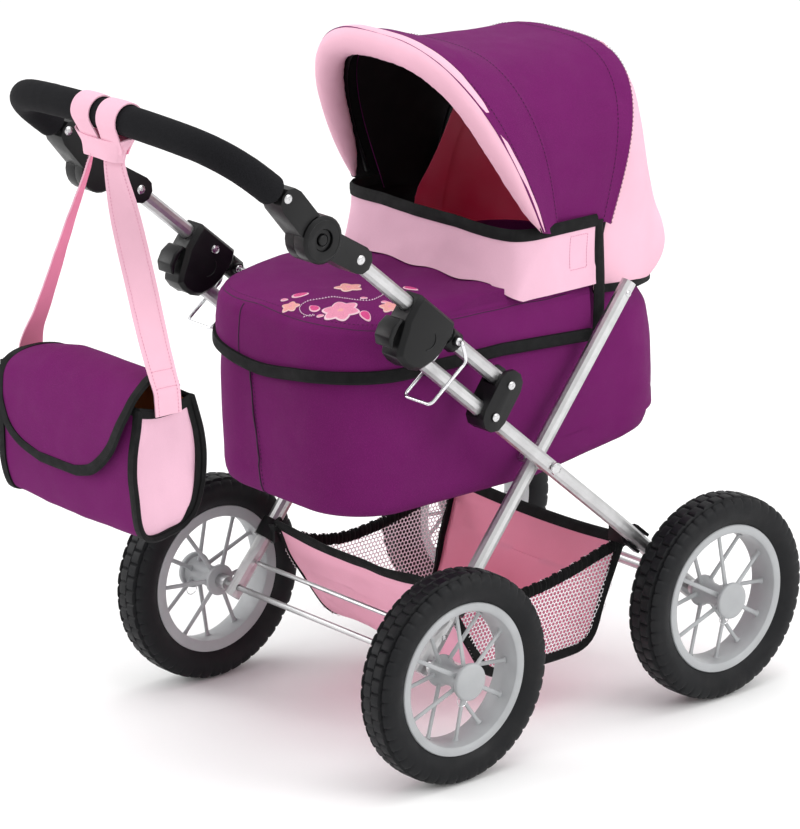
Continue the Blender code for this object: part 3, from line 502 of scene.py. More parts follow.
def rubbery(name):
    """Tyre compound: dull, faintly dusty in the grooves, with a fine moulding grain."""
    colour = (0.0052, 0.0056, 0.0068)
    look = Look(name, colour, 0.50, Specular_IOR_Level=0.20)
    dust = look.ramp(look.noise(38, 4.0, 0.65), 0.50, 0.78, 0, 0.5)
    look.colour(look.mix(dust, colour, (0.016, 0.0155, 0.0155)))
    look.roughness(look.ramp(look.noise(60, 4.0, 0.6), 0.3, 0.7, 0.42, 0.62))
    look.bump(look.noise(1500, 2.0), 0.00008)
    return look.material


def foamed(name):
    """Closed-cell foam: fine open pores over a soft skin, painted darker in the pores and lighter on their
    rims as shade and light.
    """
    colour = (0.0042, 0.0042, 0.0050)
    look = Look(name, colour, 0.85, Specular_IOR_Level=0.11)
    source = look.coordinates.outputs["Object"]
    cells = look.node("TexVoronoi", {"Vector": source, "Scale": 1500.0}, feature="F1").outputs["Distance"]
    # Painted shade in the pores and painted light on the cell rims.
    look.colour(look.mix(look.ramp(cells, 0.1, 0.6, 0, 1), scaled(colour, 0.6), scaled(colour, 2.2)))
    look.bump(cells, 0.00020, 0.7)
    look.bump(look.noise(120, 2.0), 0.0004, 0.4)
    return look.material


def glossy_lining(name, colour, painted_glow):
    """Thin coated lining, its colour mixed towards a paler glow colour higher up and by noise: painted
    light standing in for daylight through it.
    """
    look = Look(name, colour, 0.55, Specular_IOR_Level=0.2)
    height = look.node("SeparateXYZ", {0: look.coordinates.outputs["Object"]}).outputs[2]
    # Painted light: lighter higher up, with noise across it, as if lit from behind.
    light = look.ramp(height, 0.36, 0.52, 0, 1)
    painted_light_noise = look.ramp(look.noise(14, 2.0), 0.35, 0.65, -0.25, 0.25)
    look.colour(look.mix(look.math("ADD", light, painted_light_noise), colour, painted_glow))
    u, v = look.waves(0.0010)
    look.bump(look.math("MULTIPLY", u, v), 0.00008)
    return look.material


PURPLE = (0.130, 0.0085, 0.098)
PINK = (0.75, 0.45, 0.565)
LOOKS = {
    "purple": woven("purple_canvas", PURPLE, contrast=0.40, sheen=0.06, specular=0.14, fleck=0.25),
    "pink": woven("pink_canvas", PINK, contrast=0.12, sheen=0.05),
    "soft_pink": woven("soft_pink_jersey", (0.80, 0.46, 0.57), pitch=0.0008, depth=0.0001, contrast=0.06,
                       sheen=0.05),
    "rose": woven("rose_canvas", (0.88, 0.26, 0.42), contrast=0.10, sheen=0.05),
    "basket_pink": woven("basket_canvas", (0.97, 0.46, 0.60), contrast=0.08, sheen=0.0),
    "basket_rose": woven("basket_lining", (0.99, 0.36, 0.50), contrast=0.08, sheen=0.0),
    "black_lining": woven("black_lining", (0.0035, 0.0028, 0.0035), pitch=0.0009, contrast=0.3, sheen=0.0,
                          specular=0.2),
    # The second colour is the lining's painted glow of daylight through it.
    "red_lining": glossy_lining("red_lining", (1.0, 0.060, 0.170), (1.0, 0.26, 0.36)),
    "tan_lining": woven("tan_lining", (0.62, 0.27, 0.09), contrast=0.2, sheen=0.0),
    "tape": taped("black_tape", (0.0040, 0.0042, 0.0045)),
    "net": threaded("pale_net", (0.93, 0.84, 0.87)),
    "dark_thread": threaded("dark_thread", (0.030, 0.004, 0.028)),
    "pink_thread": threaded("pink_thread", (0.66, 0.24, 0.38)),
    "steel": steel("satin_steel", (0.58, 0.58, 0.585)),
    "rivet": steel("rivet_steel", (0.60, 0.60, 0.61), 0.24),
    "chrome": chromed("bright_wire"),
    "black": moulded("black_plastic", (0.0040, 0.0041, 0.0046), 0.34, specular=0.24),
    "grey": moulded("grey_plastic", (0.36, 0.37, 0.38), 0.42, edge=1.12),
    "rubber": rubbery("tyre_rubber"),
    "foam": foamed("grip_foam_skin"),
}


# Wheels


def tyre(place, side_name):
    """Four rows of staggered lugs between grooves, on a round casing with a beaded inner edge."""
    side = SIDES[side_name]
    name = f"tyre_{place}_{side_name}"
    low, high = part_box(name)
    centre = middle(name) - MID
    half = (high.x - low.x) / 2
    lugs, steps, depth = 47, 8, 0.0017
    top = WHEEL_RADIUS - 0.0001
    casing = [(-0.72, 0.0637), (-0.80, 0.0655), (-0.93, 0.0695), (-1.00, 0.0745), (-0.985, 0.0775)]
    shoulder = [(-0.975, 0.0800), (-0.94, 0.0826), (-0.86, 0.0848), (-0.74, 0.0862)]
    crown = [(-0.50, top - 0.0003), (-0.46, top - 0.0002), (-0.36, top), (-0.08, top), (-0.04, top)]
    left = [(x, r, "casing") for x, r in casing] + [(x, r, "shoulder") for x, r in shoulder]
    left += [(-0.66, 0.0852, "groove"), (-0.58, 0.0852, "groove")] + [(x, r, "crown") for x, r in crown]
    profile = left + [(0.0, top, "groove")] + [(-x, r, kind) for x, r, kind in reversed(left)]
    count = lugs * steps
    grid = np.zeros((len(profile), count, 3))
    for i, (x, r, kind) in enumerate(profile):
        shift = {"shoulder": 0, "crown": steps // 2}.get(kind, 0) + (0 if x < 0 else steps // 2)
        for j in range(count):
            phase = (j + shift) % steps
            cut = 0.0
            if kind == "groove":
                cut = depth * 0.6
            elif kind in ("shoulder", "crown"):
                cut = depth if phase == steps - 1 else (0.0003 if phase in (0, steps - 2) else 0.0)
            elif i in (4, len(profile) - 5):
                cut = 0.0006 if phase >= steps - 2 else 0.0
            t = 2 * math.pi * j / count
            grid[i, j] = (side * abs(centre.x) + x * half, centre.y + (r - cut) * math.cos(t),
                          centre.z + (r - cut) * math.sin(t))
    shape = Shape()
    closed = np.concatenate([grid, grid[:1]])
    shape.grid(closed, wrap=True, flip=True)
    shape.piece(f"{name}_tread", [LOOKS["rubber"]], f"wheel_body_{place}_{side_name}",
                [name], angle=32)


def wheel(place, side_name):
    """Deep rim, barrel hub and twelve flat spokes with feet, as one grey moulding."""
    side = SIDES[side_name]
    name = f"wheel_{place}_{side_name}"
    low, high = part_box(name)
    centre = Vector((0, (low.y + high.y) / 2, WHEEL_RADIUS)) - MID
    shape = Shape()
    rim = [(0.1440, 0.0625), (0.1440, 0.0634), (0.1690, 0.0634), (0.1697, 0.0628), (0.1699, 0.0600),
           (0.1697, 0.0574),
           (0.1689, 0.0562), (0.1672, 0.0556), (0.1650, 0.0551), (0.1620, 0.0546), (0.1460, 0.0538),
           (0.1446, 0.0542),
           (0.1440, 0.0552)]
    shape.turned(rim, centre, 96, side=side, closed=True)
    hub = [(0.1398, 0.0032), (0.1398, 0.0128), (0.1402, 0.0133), (0.1426, 0.0133), (0.1440, 0.0122),
           (0.1480, 0.0098),
           (0.1560, 0.0088), (0.1640, 0.0092), (0.1690, 0.0106), (0.1712, 0.0122), (0.1725, 0.0126),
           (0.1725, 0.0032)]
    shape.turned(hub, centre, 40, side=side)
    for k in range(12):
        turn = 2 * math.pi * k / 12
        way = np.array((0, math.cos(turn), math.sin(turn)))
        across = (0, -math.sin(turn), math.cos(turn))
        outer = k % 2
        at_hub = np.array((side * (0.1685 if outer else 0.1440), centre.y, centre.z)) + way * 0.0085
        at_rim = np.array((side * (0.1585 if outer else 0.1560), centre.y, centre.z)) + way * 0.0545
        f = np.array((0.0, 0.08, 0.5, 0.90, 0.97, 1.0))[:, None]
        radius = [0.0030, 0.0021, 0.0019, 0.0018, 0.0022, 0.0034]
        shape.tube(at_hub + (at_rim - at_hub) * f, radius, 8, across=Vector(across), squash=0.72)
    shape.piece(f"{name}_moulding", [LOOKS["grey"]], f"wheel_body_{place}_{side_name}",
                [name], angle=35)


def axle_cap(place, side_name):
    """Domed push-on cap, with the wire ring of its clip standing out below it."""
    side = SIDES[side_name]
    name = f"axle_cap_{place}_{side_name}"
    centre = Vector((0, middle(f"wheel_{place}_{side_name}").y, WHEEL_RADIUS)) - MID
    shape = Shape()
    dome = [(0.1729, 0.0030), (0.1729, 0.0146), (0.1734, 0.0152), (0.1758, 0.0155), (0.1768, 0.0152),
            (0.1774, 0.0144),
            (0.1777, 0.0120), (0.1779, 0.0080), (0.1780, 0.0040), (0.1780, 0.0002)]
    shape.turned(dome, centre, 48, side=side)
    body = f"wheel_body_{place}_{side_name}"
    shape.piece(f"{name}_dome", [LOOKS["grey"]], body, [name], angle=50)
    ring = Shape()
    turns = np.linspace(0, 2 * math.pi, 33)
    loop = [(side * 0.1726, centre.y - 0.0052 + 0.0052 * math.cos(t),
             centre.z - 0.0150 + 0.0052 * math.sin(t)) for t in turns]
    ring.tube(loop, 0.00035, 6, across=X_AXIS, caps=False)
    ring.piece(f"clip_ring_{place}_{side_name}", [LOOKS["rivet"]], body)


def make_wheels():
    for place in ENDS:
        for side_name in SIDES:
            tyre(place, side_name)
            wheel(place, side_name)
            axle_cap(place, side_name)


# Frame, handle and their plastic parts


def rounded_copy(node, look, width=0.0007, segments=2):
    """The CAD piece again, with its sharp edges rounded as a mould leaves them."""
    source = frame["nodes"][node]
    shape = bmesh.new()
    shape.from_mesh(source.data)
    bmesh.ops.remove_doubles(shape, verts=shape.verts, dist=0.00002)
    flat = [e for e in shape.edges if len(e.link_faces) == 2 and e.calc_face_angle(0) < math.radians(1.0)]
    bmesh.ops.dissolve_edges(shape, edges=flat, use_verts=False)
    bmesh.ops.dissolve_degenerate(shape, edges=shape.edges, dist=0.00002)
    mesh = bpy.data.meshes.new(node + "_moulded")
    shape.to_mesh(mesh)
    shape.free()
    mesh.materials.clear()
    mesh.materials.append(look)
    made = bpy.data.objects.new(node + "_moulded", mesh)
    bpy.context.scene.collection.objects.link(made)
    bevel = made.modifiers.new("rounded", "BEVEL")
    bevel.width = width
    bevel.segments = segments
    bevel.limit_method = "ANGLE"
    bevel.angle_limit = math.radians(32)
    bevel.harden_normals = False
    bevel.use_clamp_overlap = True
    graph = bpy.context.evaluated_depsgraph_get()
    final = bpy.data.meshes.new_from_object(made.evaluated_get(graph))
    made.modifiers.clear()
    made.data = final
    final.shade_smooth()
    final.set_sharp_from_angle(angle=math.radians(38))
    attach(made, source["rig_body"])
    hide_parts(node)
    return made


def rivet(name, place, faces, side, radius, body, height=0.0011):
    """Domed rivet heads on one or two faces square to X: the outer face, and the inner one if given."""
    shape = Shape()
    rise = [(-0.5, 1.0), (0.0, 1.0), (0.35, 0.97), (0.7, 0.80), (0.92, 0.50), (1.0, 0.22), (0.8, 0.20),
            (0.7, 0.01)]
    for x, way in zip(faces, (1, -1)):
        profile = [(x + way * height * h, radius * r) for h, r in rise]
        shape.turned(profile, place, 20, side=side, inward=way < 0)
    shape.piece(name, [LOOKS["rivet"]], body, angle=60)


def make_frame():
    for name, made in frame["nodes"].items():
        if name.startswith(("front_leg", "rear_leg", "handle_tube", "front_axle", "rear_axle",
                            "front_brace", "rear_brace", "grip_bow")):
            made.data.materials.clear()
            made.data.materials.append(LOOKS["steel"])
        if name.startswith(("cross_rivet",)):
            made.data.materials.clear()
            made.data.materials.append(LOOKS["rivet"])
    widths = {"lock_body": 0.0032, "lower_knuckle": 0.0014, "upper_knuckle": 0.0020,
              "handle_bracket": 0.0014, "lock_lever": 0.0024}
    for stem in (*widths, "bail_clip", "front_basket_clip", "rear_basket_clip", "tilt_button"):
        for side_name in SIDES:
            rounded_copy(f"{stem}_{side_name}", LOOKS["black"], widths.get(stem, 0.0006),
                         3)
    lower = CLIP_PIVOT + UP_TUBE * -0.0750 + UNDER * 0.0283
    for side_name, side in SIDES.items():
        rivet(f"knuckle_rivet_lower_{side_name}", LOWER_RIVET, (0.1476, 0.1250), side, 0.0040, "handle")
        rivet(f"knuckle_rivet_upper_{side_name}", UPPER_RIVET, (0.1476, 0.1250), side, 0.0038, "grip")
        rivet(f"clip_rivet_{side_name}", CLIP_PIVOT, (LEG_X + 0.0120, LEG_X - 0.0120), side, 0.0033,
              "handle")
        rivet(f"lock_rivet_{side_name}", CLIP_PIVOT + UP_TUBE * 0.0330, (0.1230, 0.1240), side, 0.0036,
              "handle")
        rivet(f"bracket_rivet_upper_{side_name}", HANDLE_PIVOT, (0.1486,), side, 0.0036, "chassis")
        rivet(f"bracket_rivet_lower_{side_name}", lower, (0.1486,), side, 0.0036, "chassis")
        rivet(f"leg_top_rivet_{side_name}", Vector((0, 0.0716, 0.3542)), (0.1228,), side, 0.0030,
              "rear_frame")
        rivet(f"front_brace_screw_{side_name}", Vector((0, 0.1255, middle("front_brace").z)), (0.1276,),
              side, 0.0028, "chassis")
        rivet(f"rear_brace_screw_{side_name}", Vector((0, -0.1265, middle("rear_brace").z)), (0.1242,),
              side, 0.0030, "rear_frame")
        bail(side_name, side)
        lock_marks(side_name, side)
        knuckle_dimples(side_name, side)


def tube_point(origin, x, along, under):
    return origin + UP_TUBE * along + UNDER * under + X_AXIS * x


def bail(side_name, side):
    """The bright wire loop, bent with even radii."""
    half = [
        (0.0092, 0.0, 0.0),
        (0.0138, 0.0, 0.0),
        (0.0158, -0.0010, 0.0010),
        (0.0160, -0.0100, 0.0070),
        (0.0160, -0.0126, 0.0115),
        (0.0160, -0.0110, 0.0200),
        (0.0160, -0.0050, 0.0470),
        (0.0155, -0.0040, 0.0520),
        (0.0130, -0.0036, 0.0545),
        (0.0050, -0.0036, 0.0547),
    ]
    path = [tube_point(CLIP_PIVOT, LEG_X + x, a, p) for x, a, p in half]
    path += [tube_point(CLIP_PIVOT, LEG_X - x, a, p) for x, a, p in reversed(half)]
    path = smooth_path([(side * p.x, p.y, p.z) for p in path], 110)
    shape = Shape()
    shape.tube(path, 0.0015, 12, across=Vector((0.3, 1, -0.4)))
    shape.piece(f"bail_loop_{side_name}", [LOOKS["chrome"]], f"bail_{side_name}",
                [f"wire_bail_{side_name}"])


def lock_marks(side_name, side):
    """Two shallow moulded arcs, one on each flank of the lock."""
    shape = Shape()
    for face, bulge in ((0.1490, 1), (0.1240, -1)):
        arc = []
        for t in np.linspace(-1.05, 1.05, 18):
            p = tube_point(CLIP_PIVOT, face + bulge * 0.0001, 0.0305 - 0.0085 * math.cos(t),
                           0.0150 + 0.0085 * math.sin(t))
            arc.append((side * p.x, p.y, p.z))
        shape.tube(arc, 0.00045, 6)
    shape.piece(f"lock_arc_{side_name}", [LOOKS["black"]], "handle")


def knuckle_dimples(side_name, side):
    """Concentric steps round the tilt button, and the small sink marks on the knuckle's arms."""
    shape = Shape()
    ring = [(0.1492, 0.0172), (0.1502, 0.0168), (0.1504, 0.0158), (0.1500, 0.0152), (0.1492, 0.0150)]
    shape.turned(ring, KNUCKLE, 48, side=side)
    collar = [(0.1470, 0.0083), (0.1482, 0.0080), (0.1484, 0.0062), (0.1480, 0.0054), (0.1470, 0.0052)]
    shape.turned(collar, KNUCKLE, 36, side=side)
    shape.piece(f"knuckle_ring_{side_name}", [LOOKS["black"]], "handle")


def grip_bow_path(start):
    """Points of the grip's bow from one knuckle over the crossbar to the other."""
    half = [(LEG_X, start), (LEG_X, 0.0140), (LEG_X, 0.0220), (0.1345, 0.0360), (0.1290, 0.0480)]
    half += [(0.1200, 0.0575), (0.1060, 0.0650), (0.0850, 0.0695), (0.0600, 0.0725), (0.0300, 0.0745)]
    points = [UPPER_RIVET + UP_GRIP * s + X_AXIS * x for x, s in half]
    return points + [UPPER_RIVET + UP_GRIP * s - X_AXIS * x for x, s in reversed(half)]


def make_grip():
    """A foam sleeve with softly rounded ends and a slightly uneven skin."""
    path = smooth_path(grip_bow_path(0.0062), 220)
    radius = np.full(len(path), FOAM)
    run = np.arange(len(path)) / (len(path) - 1)
    for end in (run, 1 - run):
        radius = np.minimum(radius, FOAM - 0.0028 * np.clip(1 - end / 0.012, 0, 1) ** 2)
    radius *= 1 + 0.010 * np.array([noise.noise(Vector((9 * r, 3.1, 0))) for r in run * 6])
    shape = Shape()
    shape.tube(path, radius, 28, across=OVER_GRIP)
    made = shape.piece("grip_sleeve", [LOOKS["foam"]], "grip", ["grip_foam"], angle=60)


# Carrycot


def outline(half, back, front, corner, arc=16, side=34, front_corner=None):
    """A rounded rectangle in plan, as an even number of points from the right side's front end."""
    near = corner if front_corner is None else front_corner
    out = []
    spans = (
        ((half - near, front - near, 0.0, near), arc),
        (((half, front - near), (half, back + corner)), side),
        ((half - corner, back + corner, -0.5, corner), arc),
        (((half - corner, back), (-half + corner, back)), side // 2),
        ((-half + corner, back + corner, -1.0, corner), arc),
        (((-half, back + corner), (-half, front - near)), side),
        ((-half + near, front - near, -1.5, near), arc),
        (((-half + near, front), (half - near, front)), side // 2),
    )
    for span, steps in spans:
        for k in range(steps):
            f = k / steps
            if len(span) == 4:
                cx, cy, quarter, r = span
                turn = math.pi * (quarter + 0.5 - 0.5 * f)
                out.append((cx + r * math.cos(turn), cy + r * math.sin(turn)))
            else:
                (x0, y0), (x1, y1) = span
                out.append((x0 + (x1 - x0) * f, y0 + (y1 - y0) * f))
    return np.array(out)


def cot_rise(y):
    return 0.019 * np.clip(y / 0.150, 0, None)


def make_tub():
    """Cloth tub over a stiff board: a rounded foot, tall walls with two seams, and a stepped-in rim."""
    rows = [(0.052, 0.2068), (0.030, 0.2062), (0.017, 0.2062), (0.010, 0.2075), (0.0058, 0.2110),
            (0.0040, 0.2160), (0.0030, 0.2230)]
    insets = curve([(0, 0.0028), (0.5, 0.0012), (0.85, 0.0016), (1, 0.0040)], np.linspace(0, 1, 15))
    rows += [(inset, z) for inset, z in zip(insets, np.linspace(0.232, 0.3230, 15))]
    rows += [(0.0055, 0.3275), (0.0062, 0.3300), (0.0066, 0.3420), (0.0066, 0.3560), (0.0070, 0.3658),
             (0.0092, 0.3658),
             (0.0098, 0.3400), (0.0105, 0.2900), (0.0110, 0.2520), (0.0140, 0.2240), (0.0400, 0.2215)]
    grid = []
    for inset, z in rows:
        front = COT_FRONT + (0.006 * math.exp(-((z - 0.255) / 0.05) ** 2)
                             if inset < 0.006 else -0.0085 * (inset > 0.006) * (z > 0.33))
        ring = outline(COT_HALF - inset, COT_BACK + inset, front - inset, max(0.012, COT_CORNER - inset))
        level = z + np.where(z < 0.235, cot_rise(ring[:, 1]), 0.0)
        grid.append(np.c_[ring, level])
    grid = np.array(grid)
    out = normals(grid, wrap=True)
    wall = np.clip((grid[..., 2] - 0.206) / 0.03, 0, 1) * np.clip((0.331 - grid[..., 2]) / 0.02, 0, 1)
    wall[22:] = 0
    grid = crumple(grid, out, 0.0024 * wall, 0.055, 3.0, (1, 1, 0.35))
    seams = [(-0.0270 + 0.14 * (0.318 - grid[..., 2]), COT_BACK), (0.030 + 0 * grid[..., 2], COT_FRONT)]
    for x, y in seams:
        near = np.exp(-(((grid[..., 0] - x) / 0.0016) ** 2)) * (abs(grid[..., 1] - y) < 0.03)
        grid -= out * (0.0011 * near * wall)[..., None]
    shape = Shape()
    shape.grid(grid, wrap=True, pick=lambda i, j: 0 if i < 26 else 1)
    shape.cap(grid[0][::-1], 0, flip=True)
    shape.cap(grid[-1], 1, flip=True)
    shape.piece("tub_cloth", [LOOKS["purple"], LOOKS["purple"]], "chassis", ["cot_tub"],
                angle=50)
    foot = Shape()
    line = grid[5] + out[5] * 0.0002
    foot.stitches(np.vstack([line, line[:1]]), np.vstack([out[5], out[5][:1]]), 0, pitch=0.0042)
    for x, y in ((-0.0250, COT_BACK), (0.030, COT_FRONT)):
        lines = []
        for i in range(3, 23):
            lean = x + 0.13 * (0.318 - float(grid[i, 0, 2])) * (y < 0)
            column = int(np.argmin(abs(grid[i, :, 0] - lean) + 10 * abs(grid[i, :, 1] - y)))
            lines.append(grid[i, column] * (0, 1, 1) + np.array((lean, 0, 0)) - out[i, column] * 0.0001)
        foot.tube(lines, 0.0007, 6)
        lines = [p + np.array((0.0034, 0, 0)) for p in lines[2:]]
        foot.stitches(lines, np.tile((0, math.copysign(1.0, y), 0), (len(lines), 1)), 0, pitch=0.0036)
    foot.piece("tub_seams", [LOOKS["dark_thread"]], "chassis")


def mouth_line(count):
    """The line across the cot where the cover ends and its flap turns up, right side to left."""
    half = [(0.1060, 0.0470), (0.1064, 0.0150), (0.1058, -0.0120), (0.0995, -0.0310), (0.0780, -0.0410),
            (0.0400, -0.0450)]
    return smooth_path(half + [(0.0, -0.0465)] + [(-x, y) for x, y in reversed(half)], count)


def band_height(x, y):
    """Height of the cover's lower edge. It dips a little across the cot's rear wall."""
    dip = 0.0100 * np.exp(-(((x + 0.010) / 0.055) ** 2)) * np.clip((-0.150 - y) / 0.050, 0, 1)
    return 0.3275 - dip - 0.0065 * np.clip((y + 0.05) / 0.10, 0, 1)


def make_cover():
    """The apron: skirt, rounded shoulder and crowned top, drawn in towards the turned-up flap."""
    half, back = COT_HALF + 0.0009, COT_BACK - 0.0009
    ring = outline(half, back, 0.0480, COT_CORNER, arc=26, side=44, front_corner=0.0005)
    start, end = 26, 26 + 44 + 26 + 22 + 26 + 44 + 1
    edge = ring[start:end]
    inner = mouth_line(len(edge))
    inner[:, 0] = np.clip(inner[:, 0], -0.0985, 0.0985)
    rows = []
    way = np.gradient(edge, axis=0)
    outward = np.stack([-way[:, 1], way[:, 0]], 1)
    outward /= np.linalg.norm(outward, axis=1, keepdims=True)
    for f in (0.0, 0.12, 0.3, 0.55, 0.8, 1.0):
        low = band_height(edge[:, 0], edge[:, 1])
        puff = 0.0016 * math.sin(math.pi * min(1.0, f * 0.85 + 0.15))
        rows.append(np.c_[edge + outward * puff, low + (0.3545 - low) * f])
    for f in np.concatenate([np.linspace(0.006, 0.10, 10), np.linspace(0.13, 1.0, 26)]):
        p = edge + (inner - edge) * f
        reach = np.linalg.norm(p - edge, axis=1)
        turn = np.clip(reach / 0.0105, 0, 1)
        shoulder = 0.3545 + 0.0107 * np.sqrt(1 - (1 - turn) ** 2)
        crown = np.clip((reach - 0.004) / 0.060, 0, 1)
        z = shoulder + (COT_TOP - 0.3652) * crown * (2 - crown)
        rows.append(np.c_[p, z])
    grid = np.array(rows)[:, ::-1]
    out = normals(grid)
    flat = np.clip((grid[..., 2] - 0.345) / 0.02, 0.25, 1)
    grid = crumple(grid, out, 0.0013 * flat, 0.045, 7.0)
    near_flap = np.clip((grid[..., 1] + 0.110) / 0.060, 0, 1) * np.clip((grid[..., 2] - 0.366) / 0.006, 0,
                                                                        1)
    grid[..., 2] += near_flap * 0.0016 * np.sin(grid[..., 0] * 120 + 30 * grid[..., 1])
    shoulder_dent = np.exp(-((np.arange(len(grid)) - 9.0) / 2.2) ** 2)[:, None]
    wobble = np.array([noise.noise(Vector((x * 28, y * 28, 5.0))) for x, y in edge[::-1]])[None, :]
    grid[..., 2] += 0.0022 * shoulder_dent * wobble
    shape = Shape()
    shape.shell(grid, 0.0014)
    made = shape.piece("cover_cloth", [LOOKS["purple"], LOOKS["purple"]], "chassis",
                       ["cot_cover"], angle=50)
    declare_sheet(grid)
    band = Shape()
    path = grid[0].copy()
    drop = np.tile((0, 0, 1.0), (len(path), 1))
    flare = out[1]
    band.binding(path - drop * 0.0046 + flare * 0.0016, drop, flare, 0.0094, thick=0.0015)
    band.piece("cover_band", [LOOKS["tape"]], "chassis")
    seam = Shape()
    line = grid[9][6:-6]
    seam.tube(line - out[9][6:-6] * 0.0003, 0.0005, 6)
    seam.stitches(grid[12][6:-6] + out[12][6:-6] * 0.0001, out[12][6:-6], 0, pitch=0.0036, size=0.00018)
    column = int(np.argmin(abs(grid[2, :, 0] + 0.034) + 10 * abs(grid[2, :, 1] - back)))
    seam.tube(grid[0:9, column] - out[0:9, column] * 0.0002, 0.0007, 6)
    seam.piece("cover_seam", [LOOKS["dark_thread"]], "chassis")
    return grid


def height_over(grid):
    """A function giving the height of a sheet's top at a point in plan, or None off its edge."""
    n, m = grid.shape[:2]
    faces = [(i * m + j, i * m + j + 1, (i + 1) * m + j + 1, (i + 1) * m + j) for i in range(n - 1)
             for j in range(m - 1)]
    surface = BVHTree.FromPolygons([tuple(p) for p in grid.reshape(-1, 3)], faces)

    def height(x, y):
        hit = surface.ray_cast(Vector((x, y, 0.5)), Vector((0, 0, -1)))[0]
        return hit.z if hit else None

    return height


def make_flap(cover):
    """The turned-up pink end: it stands across the hood's opening and flares over the cover."""
    height = height_over(cover)
    line = mouth_line(150)
    line[:, 1] += 0.0030 * np.clip(line[:, 1] / 0.047, 0, 1)
    way = np.gradient(line, axis=0)
    side = np.stack([way[:, 1], -way[:, 0]], 1)
    side /= np.linalg.norm(side, axis=1, keepdims=True)
    side *= np.sign((side * (line - np.array((0, 0.03)))).sum(1, keepdims=True))
    wide = np.clip((abs(line[:, 0]) - 0.045) / 0.052, 0, 1)
    foot = [height(*(p + n * 0.0090)) if p[1] < -0.005 else None for p, n in zip(line, side)]
    low = np.array([0.3635 if z is None else max(0.3635, z + 0.0012) for z in foot])
    low = np.convolve(np.pad(low, 4, mode="edge"), np.ones(9) / 9, "valid")
    high = np.full(len(line), 0.4235) - 0.0035 * wide
    flare = 0.0080 * np.clip((0.010 - line[:, 1]) / 0.040, 0, 1)
    rows = []
    for f in np.linspace(0, 1, 15):
        push = (0.0018 + flare * (1 - f) ** 1.5)[:, None] + 0.0006 - 0.0016 * math.sin(math.pi * f)
        rows.append(np.c_[line + side * push, low + (high - low) * f])
    grid = np.array(rows)
    out = normals(grid)
    if (out[7, 75] @ np.array((0, -1, 0))) < 0:
        grid = grid[:, ::-1]
        out = normals(grid)
    fade = np.linspace(1, 0.35, 15)[:, None] * np.ones((1, grid.shape[1]))
    grid = crumple(grid, out, 0.0020 * fade, 0.032, 12.0)
    leg_clearance = 0.0022
    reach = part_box("rear_leg_right")[0][0] - leg_clearance
    grid[..., 0] = np.clip(grid[..., 0], -reach, reach)
    shape = Shape()
    shape.shell(grid, 0.0014)
    made = shape.piece("flap_cloth", [LOOKS["pink"], LOOKS["black_lining"]], "chassis",
                       ["cover_flap"], angle=50)
    declare_sheet(grid)
    tape = Shape()
    up = np.tile((0, 0, 1.0), (grid.shape[1], 1))
    tape.binding(grid[-1] + up * 0.0010 - out[-1] * 0.0007, -up, out[-1], 0.0088, thick=0.0014)
    tape.piece("flap_binding", [LOOKS["tape"]], "chassis")
    marks = Shape()
    for side_sign in (1, -1):
        columns = [j for j in range(grid.shape[1]) if grid[7, j, 0] * side_sign > 0.100
                   and 0.020 < grid[7, j, 1] < 0.042]
        a, b = min(columns), max(columns)
        corners = [(4, a), (4, b), (11, b), (11, a), (4, a)]
        path = []
        for (i0, j0), (i1, j1) in zip(corners, corners[1:]):
            steps = max(abs(i1 - i0), abs(j1 - j0)) * 3
            for k in range(steps):
                f = k / steps
                i, j = i0 + (i1 - i0) * f, j0 + (j1 - j0) * f
                ia, ja = min(int(i), 13), min(int(j), grid.shape[1] - 2)
                fi, fj = i - ia, j - ja
                p = (grid[ia, ja] * (1 - fi) * (1 - fj) + grid[ia + 1, ja] * fi * (1 - fj)
                     + grid[ia, ja + 1] * (1 - fi) * fj + grid[ia + 1, ja + 1] * fi * fj)
                path.append((p, out[ia, ja]))
        marks.stitches([p for p, _ in path], [n for _, n in path], 0, pitch=0.0026, size=0.0003)
    marks.piece("flap_patch_stitches", [LOOKS["pink_thread"]], "chassis")


def make_side_tapes():
    """A black tape down each side, from the flap's end to the cot's band."""
    for side_name, side in SIDES.items():
        course = [(0.1072, 0.0520, 0.4170), (0.1069, 0.0526, 0.4050), (0.1060, 0.0540, 0.3850),
                  (0.1050, 0.0555, 0.3650),
                  (0.1042, 0.0560, 0.3450), (0.1036, 0.0560, 0.3230)]
        path = smooth_path([(side * x, y, z) for x, y, z in course], 30)
        width = curve([(0, 0.0040), (0.4, 0.0050), (1, 0.0056)], np.linspace(0, 1, 30))
        rows = []
        for across, lift in ((-1, 0), (-0.5, 0.0009), (0.5, 0.0009), (1, 0)):
            rows.append(path + np.c_[side * (lift + 0 * width), across * width, 0 * width])
        grid = np.stack(rows, 0)
        if side > 0:
            grid = grid[::-1]
        shape = Shape()
        shape.shell(grid, 0.0010)
        shape.piece(f"side_tape_{side_name}", [LOOKS["tape"], LOOKS["tape"]], "chassis")


def petal(shape, centre, turn, length, width, slot, height):
    """One satin-stitched petal or leaf: a low pillow on the cover's top, with a paler outline."""
    u = np.array((math.cos(turn), math.sin(turn)))
    w = np.array((-math.sin(turn), math.cos(turn)))
    rings = []
    for r, rise in ((1.0, 0.0), (0.96, 0.55), (0.80, 0.9), (0.45, 1.0), (0.05, 1.0)):
        ring = []
        for t in np.linspace(0, 2 * math.pi, 24, endpoint=False):
            a, b = math.cos(t), math.sin(t)
            tip = 1 - 0.28 * a
            p = np.array(centre) + u * (0.5 * length * (1 + a * r)) + w * (0.5 * width * b * r * tip)
            ring.append((*p, height(*p) + 0.0007 * rise))
        rings.append(ring)
    grid = np.array(rings)
    shape.grid(grid[:3], slot + 1, wrap=True, flip=False)
    shape.grid(grid[2:], slot, wrap=True, flip=False)
    shape.cap(grid[-1], slot, flip=True)


